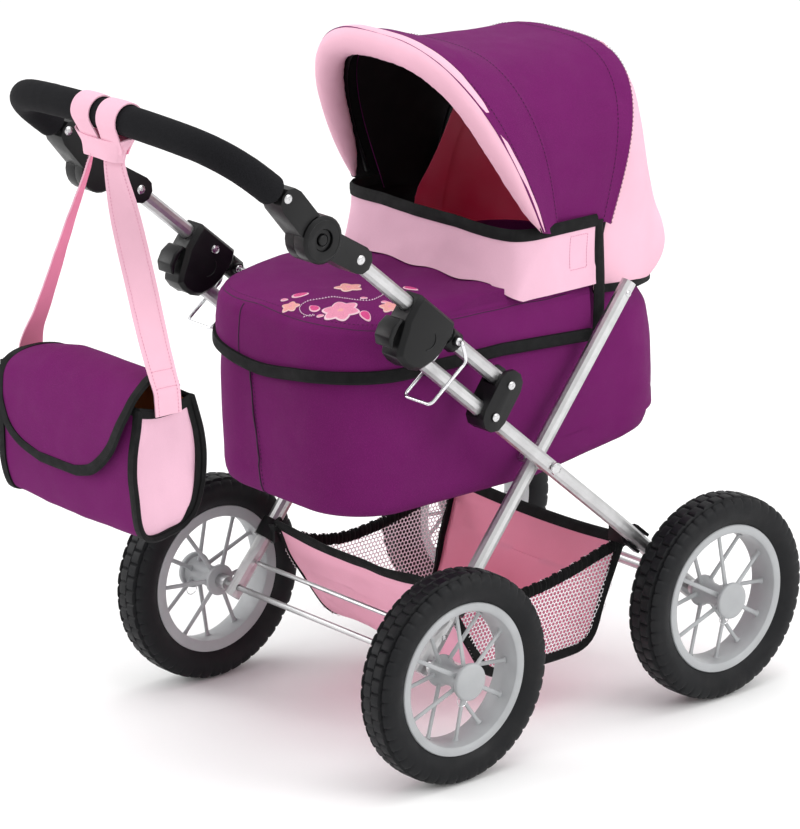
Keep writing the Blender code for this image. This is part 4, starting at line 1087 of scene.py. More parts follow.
def make_embroidery(cover):
    """Generic flowers, leaves and a dotted tendril on the cover's top."""
    top = height_over(cover)

    def height(x, y):
        return (top(x, y) or COT_TOP) + 0.0002

    looks = [threaded(f"silk_{k}", c) for k, c in enumerate((
        (0.80, 0.36, 0.34), (0.88, 0.58, 0.56), (0.78, 0.28, 0.42), (0.88, 0.60, 0.68), (0.66, 0.06, 0.24),
        (0.86, 0.52, 0.62)))]
    shape = Shape()
    # Each flower: its middle, petal length, petals, colour slot and turn
    flowers = (((0.0200, -0.1375), 0.0120, 5, 0, 0.3), ((0.0125, -0.1915), 0.0078, 5, 0, 0.9),
               ((0.0800, -0.1460), 0.0085, 5, 0, 0.1), ((0.0560, -0.1760), 0.0160, 6, 2, 0.5))
    for (x, y), size, count, slot, turn in flowers:
        for k in range(count):
            petal(shape, (x, y), turn + 2 * math.pi * k / count, size, size * 0.82, slot, height)
        petal(shape, (x - size * 0.2, y), 0.0, size * 0.4, size * 0.4, slot ^ 2, height)
    # Each leaf: x, y, turn and length
    leaves = ((0.0000, -0.1800, 1.0, 0.0140), (0.0500, -0.1060, 0.3, 0.0140),
              (0.0700, -0.1660, -0.3, 0.0150),
              (0.0400, -0.1860, 2.9, 0.0140))
    for x, y, turn, length in leaves:
        petal(shape, (x, y), turn, length, length * 0.52, 4, height)
    for x, y in ((0.0081, -0.1908), (-0.0033, -0.1885), (0.0690, -0.1455), (0.0500, -0.1510),
                 (0.0460, -0.1925)):
        petal(shape, (x, y), 0.7, 0.0062, 0.0042, 2, height)
    shape.piece("cover_flowers", looks, "chassis", angle=60)
    route = smooth_path([(0.0350, -0.1975, 0), (0.0385, -0.1935, 0), (0.0430, -0.1915, 0),
                         (0.0400, -0.1945, 0), (0.0290, -0.1935, 0),
                         (0.0200, -0.1880, 0), (0.0180, -0.1780, 0), (0.0250, -0.1690, 0),
                         (0.0300, -0.1620, 0), (0.0400, -0.1590, 0),
                         (0.0510, -0.1560, 0), (0.0595, -0.1500, 0), (0.0600, -0.1420, 0),
                         (0.0540, -0.1290, 0), (0.0420, -0.1240, 0)], 90)
    route[:, 2] = [height(x, y) for x, y, _ in route]
    vine = Shape()
    vine.stitches(route, np.tile((0, 0, 1.0), (len(route), 1)), 0, pitch=0.0024, size=0.00045)
    vine.piece("cover_tendril", [threaded("pale_silk", (0.84, 0.66, 0.76))], "chassis")


# Hood


def hood_points(turn, half_width, base, top, roundness=0.64, tuck=0.0, steps=72):
    """A cross-section in a plane through the hood's pivot axis, right side to left."""
    angle = math.radians(turn)
    t = np.pi * np.arange(steps + 1) / steps
    half = half_width - tuck * (1 - np.sin(t)) ** 4
    x = half * np.copysign(abs(np.cos(t)) ** roundness, np.cos(t))
    r = base + (top - base) * np.clip(np.sin(t), 0, 1) ** roundness
    return np.c_[x, HOOD_PIVOT.y + r * math.cos(angle), HOOD_PIVOT.z + r * math.sin(angle)]


def even(line, count):
    """The same line with its points evenly spaced."""
    run = np.concatenate([[0], np.cumsum(np.linalg.norm(np.diff(line, axis=0), axis=1))])
    at = np.linspace(0, run[-1], count)
    return np.stack([np.interp(at, run, line[:, k]) for k in range(3)], 1)


def make_hood_front():
    """The padded roll over the front bow, and the strip of purple cover sewn behind it."""
    count = 150
    bow = even(hood_points(116, 0.1180, 0.1175, 0.2880, 0.75, steps=240), count)
    behind = even(hood_points(110, 0.1170, 0.1160, 0.2700, 0.71, steps=240), count)
    angle = math.radians(116)
    ahead = np.array((0, -math.sin(angle), math.cos(angle)))
    way = np.gradient(bow, axis=0)
    way /= np.linalg.norm(way, axis=1, keepdims=True)
    out = np.cross(way, ahead)
    out *= np.sign((out * (bow - np.array((0, HOOD_PIVOT.y, HOOD_PIVOT.z)))).sum(1, keepdims=True))
    run = np.linspace(0, 1, count)
    end = np.minimum(run, 1 - run)
    radius = curve([(0, 0.0016), (0.03, 0.0052), (0.09, 0.0088), (0.20, 0.0112), (0.35, 0.0118),
                    (0.5, 0.0118)], end)
    centre = bow - out * radius[:, None]
    turns = np.radians(np.linspace(-8, 338, 29))
    rows = []
    for t in turns:
        r = radius * (1.0 + 0.05 * math.cos(2 * t))
        rows.append(centre + (out * math.cos(t) + ahead * math.sin(t)) * r[:, None])
    grid = np.stack(rows, 0)
    normal = np.stack([out * math.cos(t) + ahead * math.sin(t) for t in turns], 0)
    inner_side = np.clip(-np.cos(turns), 0, 1)[:, None]
    pucker = np.sin(run * 260 + 2.0 * np.sin(run * 37))[None, :] * np.clip(inner_side, 0, 1) ** 2
    grid = grid + normal * (0.00035 * pucker)[..., None]
    grid = crumple(grid, normal, 0.0010 * (0.3 + 0.7 * inner_side) * np.clip(end / 0.1, 0.2, 1)[None, :],
                   0.022, 21.0)
    shape = Shape()
    shape.grid(np.concatenate([grid, grid[:1]]), flip=False)
    for j, flip in ((0, False), (-1, True)):
        shape.cap(grid[:, j], 0, flip=flip)
    roll = shape.piece("hood_roll", [LOOKS["soft_pink"]], "hood_front",
                       ["hood_front_section"], angle=70)
    rear = even(hood_points(103.5, 0.1130, 0.0980, 0.2484, 0.655, 0.0075, 240), count)
    behind = even(hood_points(110, 0.1170, 0.1060, 0.2690, 0.71, 0.0080, 240), count)
    start = bow + ahead * 0.0006 + out * 0.0010
    rows = [start * (1 - f) + behind * f for f in (0.0, 0.35, 0.7)] + [behind * (1 - f) + rear * f
                                                                       for f in (0.0, 0.3, 0.6, 0.85, 1.0)]
    strip = np.stack(rows, 0)[::-1]
    strip_out = normals(strip)
    if (strip_out[4, count // 2] @ np.array((0, 0, 1))) < 0:
        strip = strip[:, ::-1]
        strip_out = normals(strip)
    strip = crumple(strip, strip_out, 0.0008 * np.linspace(0.2, 1, 8)[:, None] * np.ones((1, count)), 0.05,
                    31.0)
    cover = Shape()
    cover.shell(strip, 0.0011)
    made = cover.piece("hood_strip", [LOOKS["purple"], LOOKS["black_lining"]], "hood_front",
                       angle=60)
    declare_sheet(strip)
    seam = Shape()
    for row in (1, 6):
        seam.stitches(strip[row] + strip_out[row] * 0.0002, strip_out[row], 0, pitch=0.0036)
    seam.piece("hood_front_seams", [LOOKS["dark_thread"]], "hood_front")
    lining = Shape()
    inside = strip[3:] - strip_out[3:] * 0.0016
    lining.shell(inside, 0.0008)
    lining.piece("hood_front_lining", [LOOKS["black_lining"], LOOKS["black_lining"]], "hood_front")


def make_hood_gore():
    """The middle gore, drawn tight between the bows, with the rear bow's sleeve at its back."""
    count = 170
    # Each cross-section: turn about the hood's pivot, and its distance from there at the foot and the top
    lines = ((108.0, 0.0990, 0.2590), (105.0, 0.0980, 0.2500), (101.0, 0.0960, 0.2436),
             (97.0, 0.0940, 0.2400), (93.5, 0.0925, 0.2380), (90.0, 0.0912, 0.2370),
             (86.5, 0.0900, 0.2366), (83.0, 0.0890, 0.2374), (80.0, 0.0880, 0.2389), (78.0, 0.0872, 0.2403),
             (76.8, 0.0868, 0.2416),
             (75.6, 0.0864, 0.2428), (74.2, 0.0860, 0.2436), (72.8, 0.0856, 0.2437), (71.8, 0.0852, 0.2432))
    rows = []
    for turn, base, top in lines:
        tuck = 0.0035 + 0.0035 * min(1.0, max(0.0, (turn - 80) / 20))
        base += 0.0150 * min(1.0, max(0.0, (88 - turn) / 12))
        rows.append(even(hood_points(turn, 0.1103, base, top, 0.64, tuck, 240), count))
    grid = np.stack(rows, 0)[::-1]
    out = normals(grid)
    if (out[6, count // 2] @ np.array((0, 0, 1))) < 0:
        grid = grid[:, ::-1]
        out = normals(grid)
    run = np.linspace(0, 1, count)
    between_bows = np.clip(1 - abs(np.linspace(1, -1, len(lines))), 0, 1)
    along_arch = 0.35 + 0.65 * np.sin(np.pi * run) ** 2
    slack = between_bows[:, None] * along_arch[None, :]
    grid = grid - out * (0.0014 * slack)[..., None]
    grid = crumple(grid, out, -0.0009 * slack, 0.045, 41.0)
    gather = np.zeros(grid.shape[:2])
    gather[1:6] = np.array((0.3, 0.8, 1.0, 0.6, 0.25))[:, None]
    ripple = np.sin(run * 420 + 3 * np.sin(run * 23)) * np.clip(np.sin(np.pi * run) - 0.3, 0, 1)
    grid = grid - out * (0.00055 * gather * (1 + ripple)[None, :])[..., None]
    shape = Shape()
    shape.shell(grid, 0.0012)
    made = shape.piece("hood_gore", [LOOKS["purple"], LOOKS["black_lining"]], "hood_rear",
                       ["hood_rear_gore"], angle=60)
    declare_sheet(grid)
    seam = Shape()
    for row in (4, 0):
        seam.stitches(grid[row] + out[row] * 0.0002, out[row], 0, pitch=0.0036)
    seam.piece("hood_gore_seams", [LOOKS["dark_thread"]], "hood_rear")
    bow_rib("rear", 75.0, 0.1060, 0.0880, 0.2380, 0.64, "hood_rear")
    bow_rib("front", 112.0, 0.1110, 0.1170, 0.2640, 0.72, "hood_front")


def bow_rib(label, turn, half_width, base, top, roundness, body):
    """The flat plastic bow inside the hood, in its sleeve."""
    line = even(hood_points(turn, half_width - 0.0028, base + 0.002, top - 0.0032, roundness, steps=240),
                90)
    shape = Shape()
    shape.tube(line, 0.0028, 10, across=X_AXIS, squash=0.6)
    shape.piece(f"hood_bow_{label}", [LOOKS["black"]], body)


def make_hood_back():
    """The pink back panel: full at its foot, drawn in to the rear bow, with a rose lining inside."""
    # Each level: height, y at the sides, y at the back, and half the width
    lines = (
        (0.3405, 0.0540, 0.1590, 0.1008),
        (0.3450, 0.0540, 0.1660, 0.1012),
        (0.3530, 0.0540, 0.1740, 0.1015),
        (0.3670, 0.0545, 0.1790, 0.1015),
        (0.3830, 0.0560, 0.1760, 0.1015),
        (0.4040, 0.0600, 0.1660, 0.1015),
        (0.4320, 0.0700, 0.1530, 0.1020),
        (0.4620, 0.0830, 0.1420, 0.1000),
        (0.4900, 0.0915, 0.1340, 0.0950),
        (0.5150, 0.0985, 0.1250, 0.0870),
        (0.5330, 0.1040, 0.1160, 0.0715),
        (0.5395, 0.1065, 0.1130, 0.0610),
        (0.5440, 0.1085, 0.1115, 0.0500),
    )
    z = np.array([line[0] for line in lines])
    levels = np.concatenate([np.linspace(0.3405, 0.3700, 9), np.linspace(0.3760, 0.5440, 27)])
    side_y, end_y, half = (curve(list(zip(z, [line[k] for line in lines])), levels) for k in (1, 2, 3))
    steps = 110
    rows = []
    for k, level in enumerate(levels):
        t = np.pi * np.arange(steps + 1) / steps
        x = half[k] * np.copysign(abs(np.cos(t)) ** 0.6, np.cos(t))
        y = side_y[k] + (end_y[k] - side_y[k]) * np.clip(np.sin(t), 0, 1) ** 0.85
        lift = (0.0060 + 0.0090 * (1 - np.sin(t)) ** 1.5) * np.clip((0.400 - level) / 0.0595, 0, 1)
        rows.append(even(np.c_[x, y, level + lift], 120))
    grid = np.stack(rows, 0)
    out = normals(grid)
    if (out[12, 60] @ np.array((0, 1, 0))) < 0:
        grid = grid[:, ::-1]
        out = normals(grid)
    run = np.linspace(0, 1, 120)
    soft = np.clip(np.sin(np.pi * run), 0.15, 1)[None, :] * np.clip(np.linspace(1.2, 0.3, len(levels)), 0,
                                                                    1)[:, None]
    grid = crumple(grid, out, -0.0018 * soft, 0.040, 51.0, (1, 1, 0.5))
    shape = Shape()
    shape.shell(grid, 0.0012)
    made = shape.piece("hood_back_cloth", [LOOKS["soft_pink"], LOOKS["red_lining"]], "chassis",
                       ["hood_back_panel"], angle=60)
    declare_sheet(grid)
    tape = Shape()
    up = np.tile((0, 0, 1.0), (grid.shape[1], 1))
    tape.binding(grid[0] - up * 0.0022, up, out[1], 0.0066, thick=0.0013)
    tape.piece("hood_back_binding", [LOOKS["tape"]], "chassis")
    inner = Shape()
    rows = []
    for level in np.linspace(0.3680, 0.5180, 22):
        start = float(curve([(0.36, 0.0370), (0.405, 0.0380), (0.42, 0.050), (0.435, 0.060), (0.47, 0.076),
                             (0.50, 0.087), (0.52, 0.093)], level))
        finish = float(curve(list(zip(z, [line[1] for line in lines])), level)) + 0.008
        width = float(curve(list(zip(z, [line[3] for line in lines])), level)) - 0.0032
        rows.append([(width, start + (finish - start) * f, level) for f in np.linspace(0, 1, 6)])
    lining = np.array(rows)
    for side in (1, -1):
        grid = lining * np.array((side, 1, 1))
        inner.shell(grid if side > 0 else grid[:, ::-1], 0.0008)
    inner.piece("hood_side_lining", [LOOKS["red_lining"], LOOKS["red_lining"]], "chassis")


# Basket


def hex_net(shape, inside, place, low, high, pitch=0.0039, strand=0.00062):
    """A knitted net of hexagons, wherever inside(a, b) is true. place(a, b) gives each point."""
    rise = pitch * math.sqrt(3) / 2
    radius = pitch / math.sqrt(3)
    turns = [math.pi / 6 + math.pi * k / 3 for k in range(6)]
    points, faces = [], []
    for row in range(int((high[1] - low[1]) / rise) + 1):
        b = low[1] + row * rise
        for column in range(int((high[0] - low[0]) / pitch) + 1):
            a = low[0] + (column + 0.5 * (row % 2)) * pitch
            if not inside(a, b):
                continue
            base = len(points)
            for r in (radius * 1.001, radius - strand):
                points += [place(a + r * math.cos(t), b + r * math.sin(t)) for t in turns]
            faces += [[base + k, base + (k + 1) % 6, base + 6 + (k + 1) % 6, base + 6 + k]
                      for k in range(6)]
    shape.add(points, faces, [[(0, 0), (0.001, 0), (0.001, 0.001), (0, 0.001)]] * len(faces), 0)


RIM_FRONT = 0.1380
RIM_REAR = 0.1420


def basket_side(a):
    """Height of the basket's side rim at place a along Y: it sags between its corners."""
    return curve([(-0.114, RIM_REAR), (-0.090, 0.1270), (-0.050, 0.1160), (-0.010, 0.1170), (0.030, 0.1240),
                  (0.065, 0.1330), (0.090, RIM_FRONT)], a)


def basket_profile(count):
    """The hammock's line in the side view, rear rim to front rim."""
    return smooth_path([(-0.114, RIM_REAR), (-0.100, 0.112), (-0.080, 0.080), (-0.063, 0.056),
                        (-0.045, 0.0465), (-0.010, 0.0450),
                        (0.030, 0.0450), (0.050, 0.0475), (0.062, 0.058), (0.070, 0.085), (0.080, 0.112),
                        (0.090, RIM_FRONT)], count)


def basket_half(z):
    return 0.0965 + 0.0065 * np.clip((z - 0.046) / 0.09, 0, 1)


def make_basket():
    """A hammock of pink cloth with net sides, bound in black, its side rims gathered on elastic."""
    line = basket_profile(90)
    columns = 60
    across = np.linspace(1, -1, columns)
    grid = np.zeros((len(line), columns, 3))
    for i, (y, z) in enumerate(line):
        half = basket_half(z)
        sag = -0.0045 * (1 - across**2) if z > 0.10 else -0.0012 * (1 - across**2)
        grid[i] = np.c_[across * half, np.full(columns, y), z + sag]
    out = normals(grid)
    if out[45, 30, 2] > 0:
        grid = grid[:, ::-1]
        out = normals(grid)
    grid = crumple(grid, out, 0.0030 * np.ones(grid.shape[:2]), 0.055, 61.0)
    shape = Shape()
    shape.shell(grid, 0.0012, outer=0, inner=1)
    cloth = shape.piece("basket_cloth", [LOOKS["basket_pink"], LOOKS["basket_rose"]], None,
                        ["basket"], angle=60)
    declare_sheet(grid)
    tape = Shape()
    for row, inner_row in ((0, 3), (-1, -4)):
        inward = grid[inner_row] - grid[row]
        inward /= np.linalg.norm(inward, axis=1, keepdims=True)
        tape.binding(grid[row] - inward * 0.0012, inward, out[row], 0.0088, thick=0.0014)
    profile = basket_profile(60)
    way = np.gradient(profile, axis=0)
    into = np.stack([-way[:, 1], way[:, 0]], 1)
    into /= np.linalg.norm(into, axis=1, keepdims=True)
    into *= np.sign((into * (np.array((-0.010, 0.120)) - profile)).sum(1, keepdims=True))
    for side in SIDES.values():
        edge = np.c_[side * (basket_half(profile[:, 1]) + 0.0012), profile]
        inward = np.c_[np.zeros(len(into)), into]
        sideways = np.tile((float(side), 0, 0), (len(edge), 1))
        tape.binding(edge - inward * 0.0010, inward, sideways, 0.0072, thick=0.0013)
    pieces = [cloth, tape.piece("basket_binding", [LOOKS["tape"]], None)]

    def inside(y, z):
        above = z > float(np.interp(y, profile[:, 0], profile[:, 1])) - 0.0016
        return -0.114 < y < 0.090 and above and z < float(basket_side(y)) + 0.0006

    for side_name, side in SIDES.items():
        net = Shape()

        def place(y, z):
            bulge = 0.0026 * math.sin(math.pi * float(np.clip((z - 0.046) / 0.08, 0, 1)))
            return side * (float(basket_half(z)) + bulge), y, z

        hex_net(net, inside, place, (-0.116, 0.044), (0.092, 0.144))
        pieces.append(net.piece(f"basket_net_{side_name}", [LOOKS["net"]], None))
        elastic = Shape()
        ys = np.linspace(0.090, -0.114, 170)
        path = np.c_[side * (basket_half(basket_side(ys)) + 0.0010), ys, basket_side(ys) + 0.0006]
        ripple = np.sin(np.arange(170) * 1.7) + 0.5 * np.sin(np.arange(170) * 0.71)
        path[:, 2] += 0.0008 * ripple
        down = np.tile((0, 0, -1.0), (170, 1))
        sideways = np.tile((float(side), 0, 0), (170, 1))
        elastic.binding(path, down, sideways, 0.0084, thick=0.0019, puff=1 + 0.45 * ripple)
        pieces.append(elastic.piece(f"basket_elastic_{side_name}", [LOOKS["tape"]], None))
    for made in pieces:
        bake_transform(made)


# Shoulder bag


BAG_LEFT = -0.1000
BAG_RIGHT = 0.0790
BAG_OUTLINE = ((-0.3935, 0.3400), (-0.3958, 0.3100), (-0.3964, 0.2850), (-0.3956, 0.2600),
               (-0.3938, 0.2440), (-0.3895, 0.2360),
               (-0.3800, 0.2330), (-0.3650, 0.2345), (-0.3500, 0.2395), (-0.3385, 0.2500),
               (-0.3315, 0.2680), (-0.3298, 0.2880),
               (-0.3315, 0.3080), (-0.3360, 0.3280), (-0.3410, 0.3425))


def make_bag():
    """A soft box: one purple sheet round front, bottom and back, pink gussets, and bound edges."""
    line = smooth_path(BAG_OUTLINE, 76)
    columns = 46
    grid = np.zeros((columns, len(line), 3))
    for j, (y, z) in enumerate(line):
        tight = math.exp(-(((z - 0.293) / 0.028) ** 2))
        right = BAG_RIGHT - 0.0030 - 0.0055 * tight * (y < -0.36)
        left = BAG_LEFT + 0.0030 + 0.0040 * math.exp(-(((z - 0.236) / 0.012) ** 2))
        f = np.linspace(0, 1, columns)
        grid[:, j] = np.c_[left + (right - left) * f, np.full(columns, y), np.full(columns, z)]
    out = normals(grid)
    if out[20, 4, 1] > 0:
        grid = grid[::-1]
        out = normals(grid)
    f = np.linspace(0, 1, columns)[:, None]
    middle_bulge = np.sin(np.pi * f) * np.ones((1, len(line)))
    grid = grid + out * (0.0022 * middle_bulge - 0.0012)[..., None]
    grid = crumple(grid, out, 0.0012 * np.ones(grid.shape[:2]), 0.040, 71.0)
    shape = Shape()
    shape.shell(grid, 0.0014, 0, 1)
    made = shape.piece("bag_body", [LOOKS["purple"], LOOKS["tan_lining"]], "bag",
                       ["bag_shell"], angle=60)
    declare_sheet(grid)
    tape = Shape()
    gussets = Shape()
    for end in (0, -1):
        edge = grid[end]
        sign = 1.0 if edge[:, 0].mean() > 0 else -1.0
        inner = 4 if end == 0 else -5
        inward = grid[inner] - edge
        inward /= np.linalg.norm(inward, axis=1, keepdims=True)
        behind = np.clip((edge[:, 1] + 0.352) / 0.010, 0, 1)
        tape.binding(edge - inward * 0.0034, inward, out[end], 0.0078, thick=0.0016)
        tape.binding(edge + inward * 0.0006 + out[end] * 0.0004, out[end] * -1, inward * -1,
                     0.0036 + 0.0034 * behind, thick=0.0012)
        panel = []
        half = len(line) // 2
        for k in range(half + 1):
            front, back = edge[k], edge[len(line) - 1 - k]
            row = []
            for g in np.linspace(0, 1, 20):
                p = front * (1 - g) + back * g
                dish = math.sin(math.pi * g) ** 0.7 * math.sin(math.pi * min(1, 0.15 + k / half * 0.85))
                row.append(p + np.array((sign * (0.0005 - 0.0028 * dish), 0,
                                         -0.0050 * math.sin(math.pi * g) * (k < 8) * (1 - k / 8))))
            panel.append(row)
        panel = np.array(panel)
        normal = normals(panel)
        if normal[half // 2, 10, 0] * sign < 0:
            panel = panel[:, ::-1]
            normal = normals(panel)
        panel = crumple(panel, normal, 0.0022 * np.ones(panel.shape[:2]), 0.026, 81.0 + sign, (1, 1, 0.6))
        gussets.shell(panel, 0.0012, 0, 1)
        rim = panel[0]
        down = panel[3] - rim
        down /= np.linalg.norm(down, axis=1, keepdims=True)
        tape.binding(rim - down * 0.0010, down, normal[0], 0.0072, thick=0.0012)
    gussets.piece("bag_gussets", [LOOKS["pink"], LOOKS["tan_lining"]], "bag", angle=60)
    for j in (0, -1):
        edge = grid[:, j]
        inward = grid[:, 4 if j == 0 else -5] - edge
        inward /= np.linalg.norm(inward, axis=1, keepdims=True)
        tape.binding(edge - inward * 0.0008, inward, out[:, j], 0.0060, thick=0.0012)
    tape.piece("bag_binding", [LOOKS["tape"]], "bag")


def make_bag_flap():
    """The flap: over the top and down the front to a rounded lip, bound in black."""
    course = [(-0.3385, 0.3450), (-0.3440, 0.3515), (-0.3550, 0.3570), (-0.3700, 0.3588), (-0.3835, 0.3555),
              (-0.3948, 0.3468),
              (-0.4008, 0.3335), (-0.4034, 0.3180), (-0.4037, 0.3000), (-0.4030, 0.2850), (-0.4022, 0.2740)]
    line = smooth_path(course, 60)
    edges = smooth_path([(0.0, -0.084, 0.0585), (0.20, -0.087, 0.063), (0.36, -0.092, 0.072),
                         (0.50, -0.093, 0.073), (0.62, -0.092, 0.068),
                         (0.76, -0.089, 0.057), (0.88, -0.080, 0.042), (0.96, -0.062, 0.026),
                         (1.0, -0.040, 0.006)], 200)
    columns = 50
    rows = []
    for i, (y, z) in enumerate(line):
        f = i / (len(line) - 1)
        left = float(np.interp(f, edges[:, 0], edges[:, 1]))
        right = float(np.interp(f, edges[:, 0], edges[:, 2]))
        x = np.linspace(left, right, columns)
        drop = 0.36 * max(0.0, z - 0.333) * np.clip((-0.045 - x) / 0.045, 0, 1)
        rows.append(np.c_[x, np.full(columns, y), z - drop])
    grid = np.array(rows)
    out = normals(grid)
    if out[20, 25, 2] < 0:
        grid = grid[:, ::-1]
        out = normals(grid)
    loose = np.clip(np.linspace(0, 1.4, len(line)), 0.2, 1)[:, None] * np.ones((1, columns))
    grid = crumple(grid, out, 0.0013 * loose, 0.035, 91.0)
    shape = Shape()
    shape.shell(grid, 0.0014)
    flap = shape.piece("bag_flap_cloth", [LOOKS["purple"], LOOKS["purple"]], None,
                       ["bag_flap"], angle=60)
    declare_sheet(grid)
    around = [(i, 0) for i in range(2, len(line))] + [(len(line) - 1, j) for j in range(1, columns)]
    around += [(i, columns - 1) for i in range(len(line) - 2, 1, -1)]
    path = np.array([grid[i, j] for i, j in around])
    normal = np.array([out[i, j] for i, j in around])
    heart = np.array([grid[min(i, len(line) - 8), columns // 2] for i, j in around])
    way = np.gradient(path, axis=0)
    inward = np.cross(normal, way)
    inward /= np.linalg.norm(inward, axis=1, keepdims=True)
    if ((heart - path) * inward).sum() < 0:
        inward = -inward
    tape = Shape()
    tape.binding(path - inward * 0.0008 - normal * 0.0007, inward, normal, 0.0080, thick=0.0013)
    binding = tape.piece("bag_flap_binding", [LOOKS["tape"]], None)
    for made in (flap, binding):
        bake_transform(made)


# Strap courses: x, y, z, how far its width is turned from the Y direction, and half its width
RIGHT_STRAP = ((0.0105, -0.3620, 0.5250, -84, 0.0100), (0.0125, -0.3620, 0.5080, -78, 0.0116),
               (0.0235, -0.3625, 0.4780, -55, 0.0122),
               (0.0430, -0.3640, 0.4300, -30, 0.0122), (0.0610, -0.3655, 0.3860, -12, 0.0122),
               (0.0735, -0.3670, 0.3620, -4, 0.0122),
               (0.0803, -0.3680, 0.3480, 0, 0.0122), (0.0812, -0.3680, 0.3330, 0, 0.0122))
LEFT_STRAP = ((-0.0170, -0.3610, 0.5250, 62, 0.0075), (-0.0220, -0.3608, 0.5100, 44, 0.0108),
              (-0.0340, -0.3606, 0.4860, 33, 0.0120),
              (-0.0560, -0.3610, 0.4420, 28, 0.0120), (-0.0850, -0.3615, 0.3820, 20, 0.0120),
              (-0.0980, -0.3620, 0.3590, 15, 0.0120),
              (-0.1022, -0.3620, 0.3460, 8, 0.0120), (-0.1028, -0.3620, 0.3310, 4, 0.0120))


def make_straps():
    """Flat webbing with stitched edges, half turned on the far side and sewn to the gussets."""
    for side_name, course in (("right", RIGHT_STRAP), ("left", LEFT_STRAP)):
        found = smooth_path(course, 90)
        line, twist, half = found[:, :3], np.radians(found[:, 3]), found[:, 4:]
        breadth = np.stack([-np.sin(twist), np.cos(twist), 0 * twist], 1)
        out = np.cross(np.gradient(line, axis=0), breadth)
        out /= np.linalg.norm(out, axis=1, keepdims=True)
        if (out[60, 0] > 0) != (side_name == "right"):
            out = -out
        grid = np.stack([line + breadth * half * f for f in np.linspace(-1, 1, 9)], 0)
        if (normals(grid)[4, 60] @ out[60]) < 0:
            grid = grid[::-1]
        turned_out = np.broadcast_to(out, grid.shape)
        bow = np.sin(np.linspace(0, 9, 90))[None, :] * np.linspace(-1, 1, 9)[:, None]
        grid = grid + turned_out * (0.0007 * bow + 0.0005)[..., None]
        grid = crumple(grid, turned_out, 0.0007 * np.ones(grid.shape[:2]), 0.030, 101.0)
        shape = Shape()
        shape.shell(grid, 0.0012)
        strap = shape.piece(f"strap_{side_name}", [LOOKS["soft_pink"], LOOKS["rose"]], None,
                            [f"bag_strap_{side_name}"], angle=50)
        seams = Shape()
        normal = normals(grid)
        for row in (1, 7):
            seams.stitches(grid[row] + normal[row] * 0.0001, normal[row], 0, pitch=0.0028, size=0.00022)
        for column in (83, 87):
            foot = grid[1:8, column]
            seams.stitches(foot + normal[1:8, column] * 0.0001, normal[1:8, column], 0, pitch=0.0022,
                           size=0.00026)
        thread = seams.piece(f"strap_stitches_{side_name}", [LOOKS["pink_thread"]], None)
        for made in (strap, thread):
            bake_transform(made)
        declare_sheet(grid)


def make_loops():
    """Two straps over the foam, gathered into the folded and flared cuff below it."""
    shape = Shape()
    radius = FOAM + 0.0017
    for x0, x1, drawn in ((-0.0250, -0.0030, 0.0050), (0.0065, 0.0300, -0.0055)):
        low = 0.5240
        course = [(-0.0035, low), (-0.0050, low + 0.0060)]
        course += [(-radius * math.sin(t), CROSSBAR.z + radius * math.cos(t))
                   for t in np.radians(np.linspace(122, -122, 30))]
        course += [(0.0050, low + 0.0060), (0.0035, low)]
        course = smooth_path([(CROSSBAR.y + y, z, 0) for y, z in course], 64)
        grid = np.zeros((9, 64, 3))
        for i, f in enumerate(np.linspace(0, 1, 9)):
            pull = drawn * np.clip((CROSSBAR.z - course[:, 1]) / 0.028, 0, 1) ** 1.3
            grid[i] = np.c_[x0 + (x1 - x0) * f + pull, course[:, 0], course[:, 1]]
        out = normals(grid)
        if out[4, 32, 2] < 0:
            grid = grid[::-1]
            out = normals(grid)
        grid = grid + out * (0.0004 * np.sin(np.pi * np.linspace(0, 1, 9)))[:, None, None]
        shape.shell(grid, 0.0011)
    sections = []
    for f in np.linspace(0, 1, 12):
        z = 0.5172 + 0.0165 * f
        left = float(curve([(0, -0.0245), (0.5, -0.0270), (1, -0.0335)], f))
        right = float(curve([(0, 0.0215), (0.5, 0.0240), (1, 0.0320)], f))
        depth = float(curve([(0, 0.0056), (0.4, 0.0064), (1, 0.0084)], f))
        ring = []
        for t in np.linspace(0, 2 * math.pi, 64, endpoint=False):
            x = 0.5 * (left + right) + 0.5 * (right - left) * math.copysign(abs(math.cos(t)) ** 0.45,
                                                                            math.cos(t))
            y = CROSSBAR.y + depth * math.copysign(abs(math.sin(t)) ** 0.75, math.sin(t))
            lift = 0.0036 * f * (abs(x - 0.5 * (left + right)) / (0.5 * (right - left))) ** 4
            ring.append((x, y, z + lift))
        sections.append(ring)
    grid = np.array(sections)
    out = normals(grid, wrap=True)
    if out[5, 16, 1] < 0:
        grid = grid[:, ::-1]
        out = normals(grid, wrap=True)
    grid = crumple(grid, out, 0.0010 * np.ones(grid.shape[:2]), 0.014, 111.0)
    shape.shell(grid, 0.0012, wrap=True)
    shape.piece("bag_loop_webbing", [LOOKS["soft_pink"], LOOKS["rose"]], "loops",
                ["bag_loops"], angle=50)


# Stage


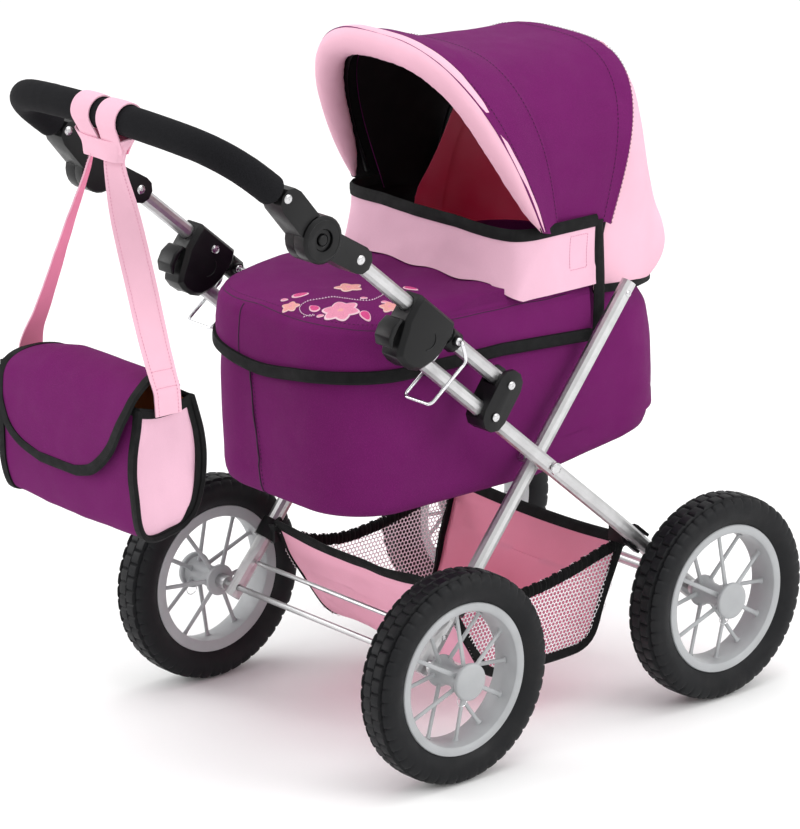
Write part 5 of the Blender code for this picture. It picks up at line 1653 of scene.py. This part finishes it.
def make_stage():
    floor = Shape()
    size = 14.0
    floor.add([(-size, -size, 0), (size, -size, 0), (size, size, 0), (-size, size, 0)], [[0, 1, 2, 3]],
              [[(0, 0)] * 4], 0)
    look = Look("studio_floor", (0.93, 0.93, 0.93), 0.9)
    made = floor.piece("studio_floor", [look.material], smooth=False)
    made.location.z = -0.0002
    world = bpy.data.worlds.new("studio")
    bpy.context.scene.world = world
    world.use_nodes = True
    sky = world.node_tree.nodes["Background"]
    sky.inputs["Color"].default_value = (1.0, 0.995, 0.99, 1)
    sky.inputs["Strength"].default_value = 1.0
    lamps = (
        ("left", (-2.3, -1.9, 1.5), 1.6, 34),
        ("right", (2.6, 1.2, 1.7), 1.6, 30),
        ("top", (0.3, 0.2, 3.0), 2.2, 26),
    )
    target = Vector((0, MID.y, 0.3))
    for name, place, size, power in lamps:
        data = bpy.data.lights.new(name, "AREA")
        data.shape = "SQUARE"
        data.size = size
        data.energy = power
        lamp = bpy.data.objects.new(name, data)
        lamp.location = place
        lamp.rotation_mode = "QUATERNION"
        lamp.rotation_quaternion = (target - Vector(place)).to_track_quat("-Z", "Y")
        bpy.context.scene.collection.objects.link(lamp)
    azimuth, elevation = math.radians(49.3), math.radians(17.7)
    back = Vector((math.sin(azimuth) * math.cos(elevation), -math.cos(azimuth) * math.cos(elevation),
                   math.sin(elevation)))
    data = bpy.data.cameras.new("camera")
    data.lens = 206.7
    data.clip_start, data.clip_end = 0.1, 60
    camera = bpy.data.objects.new("camera", data)
    camera.location = Vector((2.8065, -2.4804, 1.4321)) + MID
    camera.rotation_mode = "QUATERNION"
    camera.rotation_quaternion = (-back).to_track_quat("-Z", "Y")
    bpy.context.scene.collection.objects.link(camera)
    bpy.context.scene.camera = camera
    bpy.context.scene.view_settings.view_transform = "Standard"


make_wheels()
make_frame()
make_grip()
make_tub()
cover_grid = make_cover()
make_flap(cover_grid)
make_side_tapes()
make_embroidery(cover_grid)
make_hood_front()
make_hood_gore()
make_hood_back()
make_basket()
make_bag()
make_bag_flap()
make_straps()
make_loops()
make_stage()
frame["nodes"]["cot_mattress"].data.materials.clear()
frame["nodes"]["cot_mattress"].data.materials.append(LOOKS["pink"])
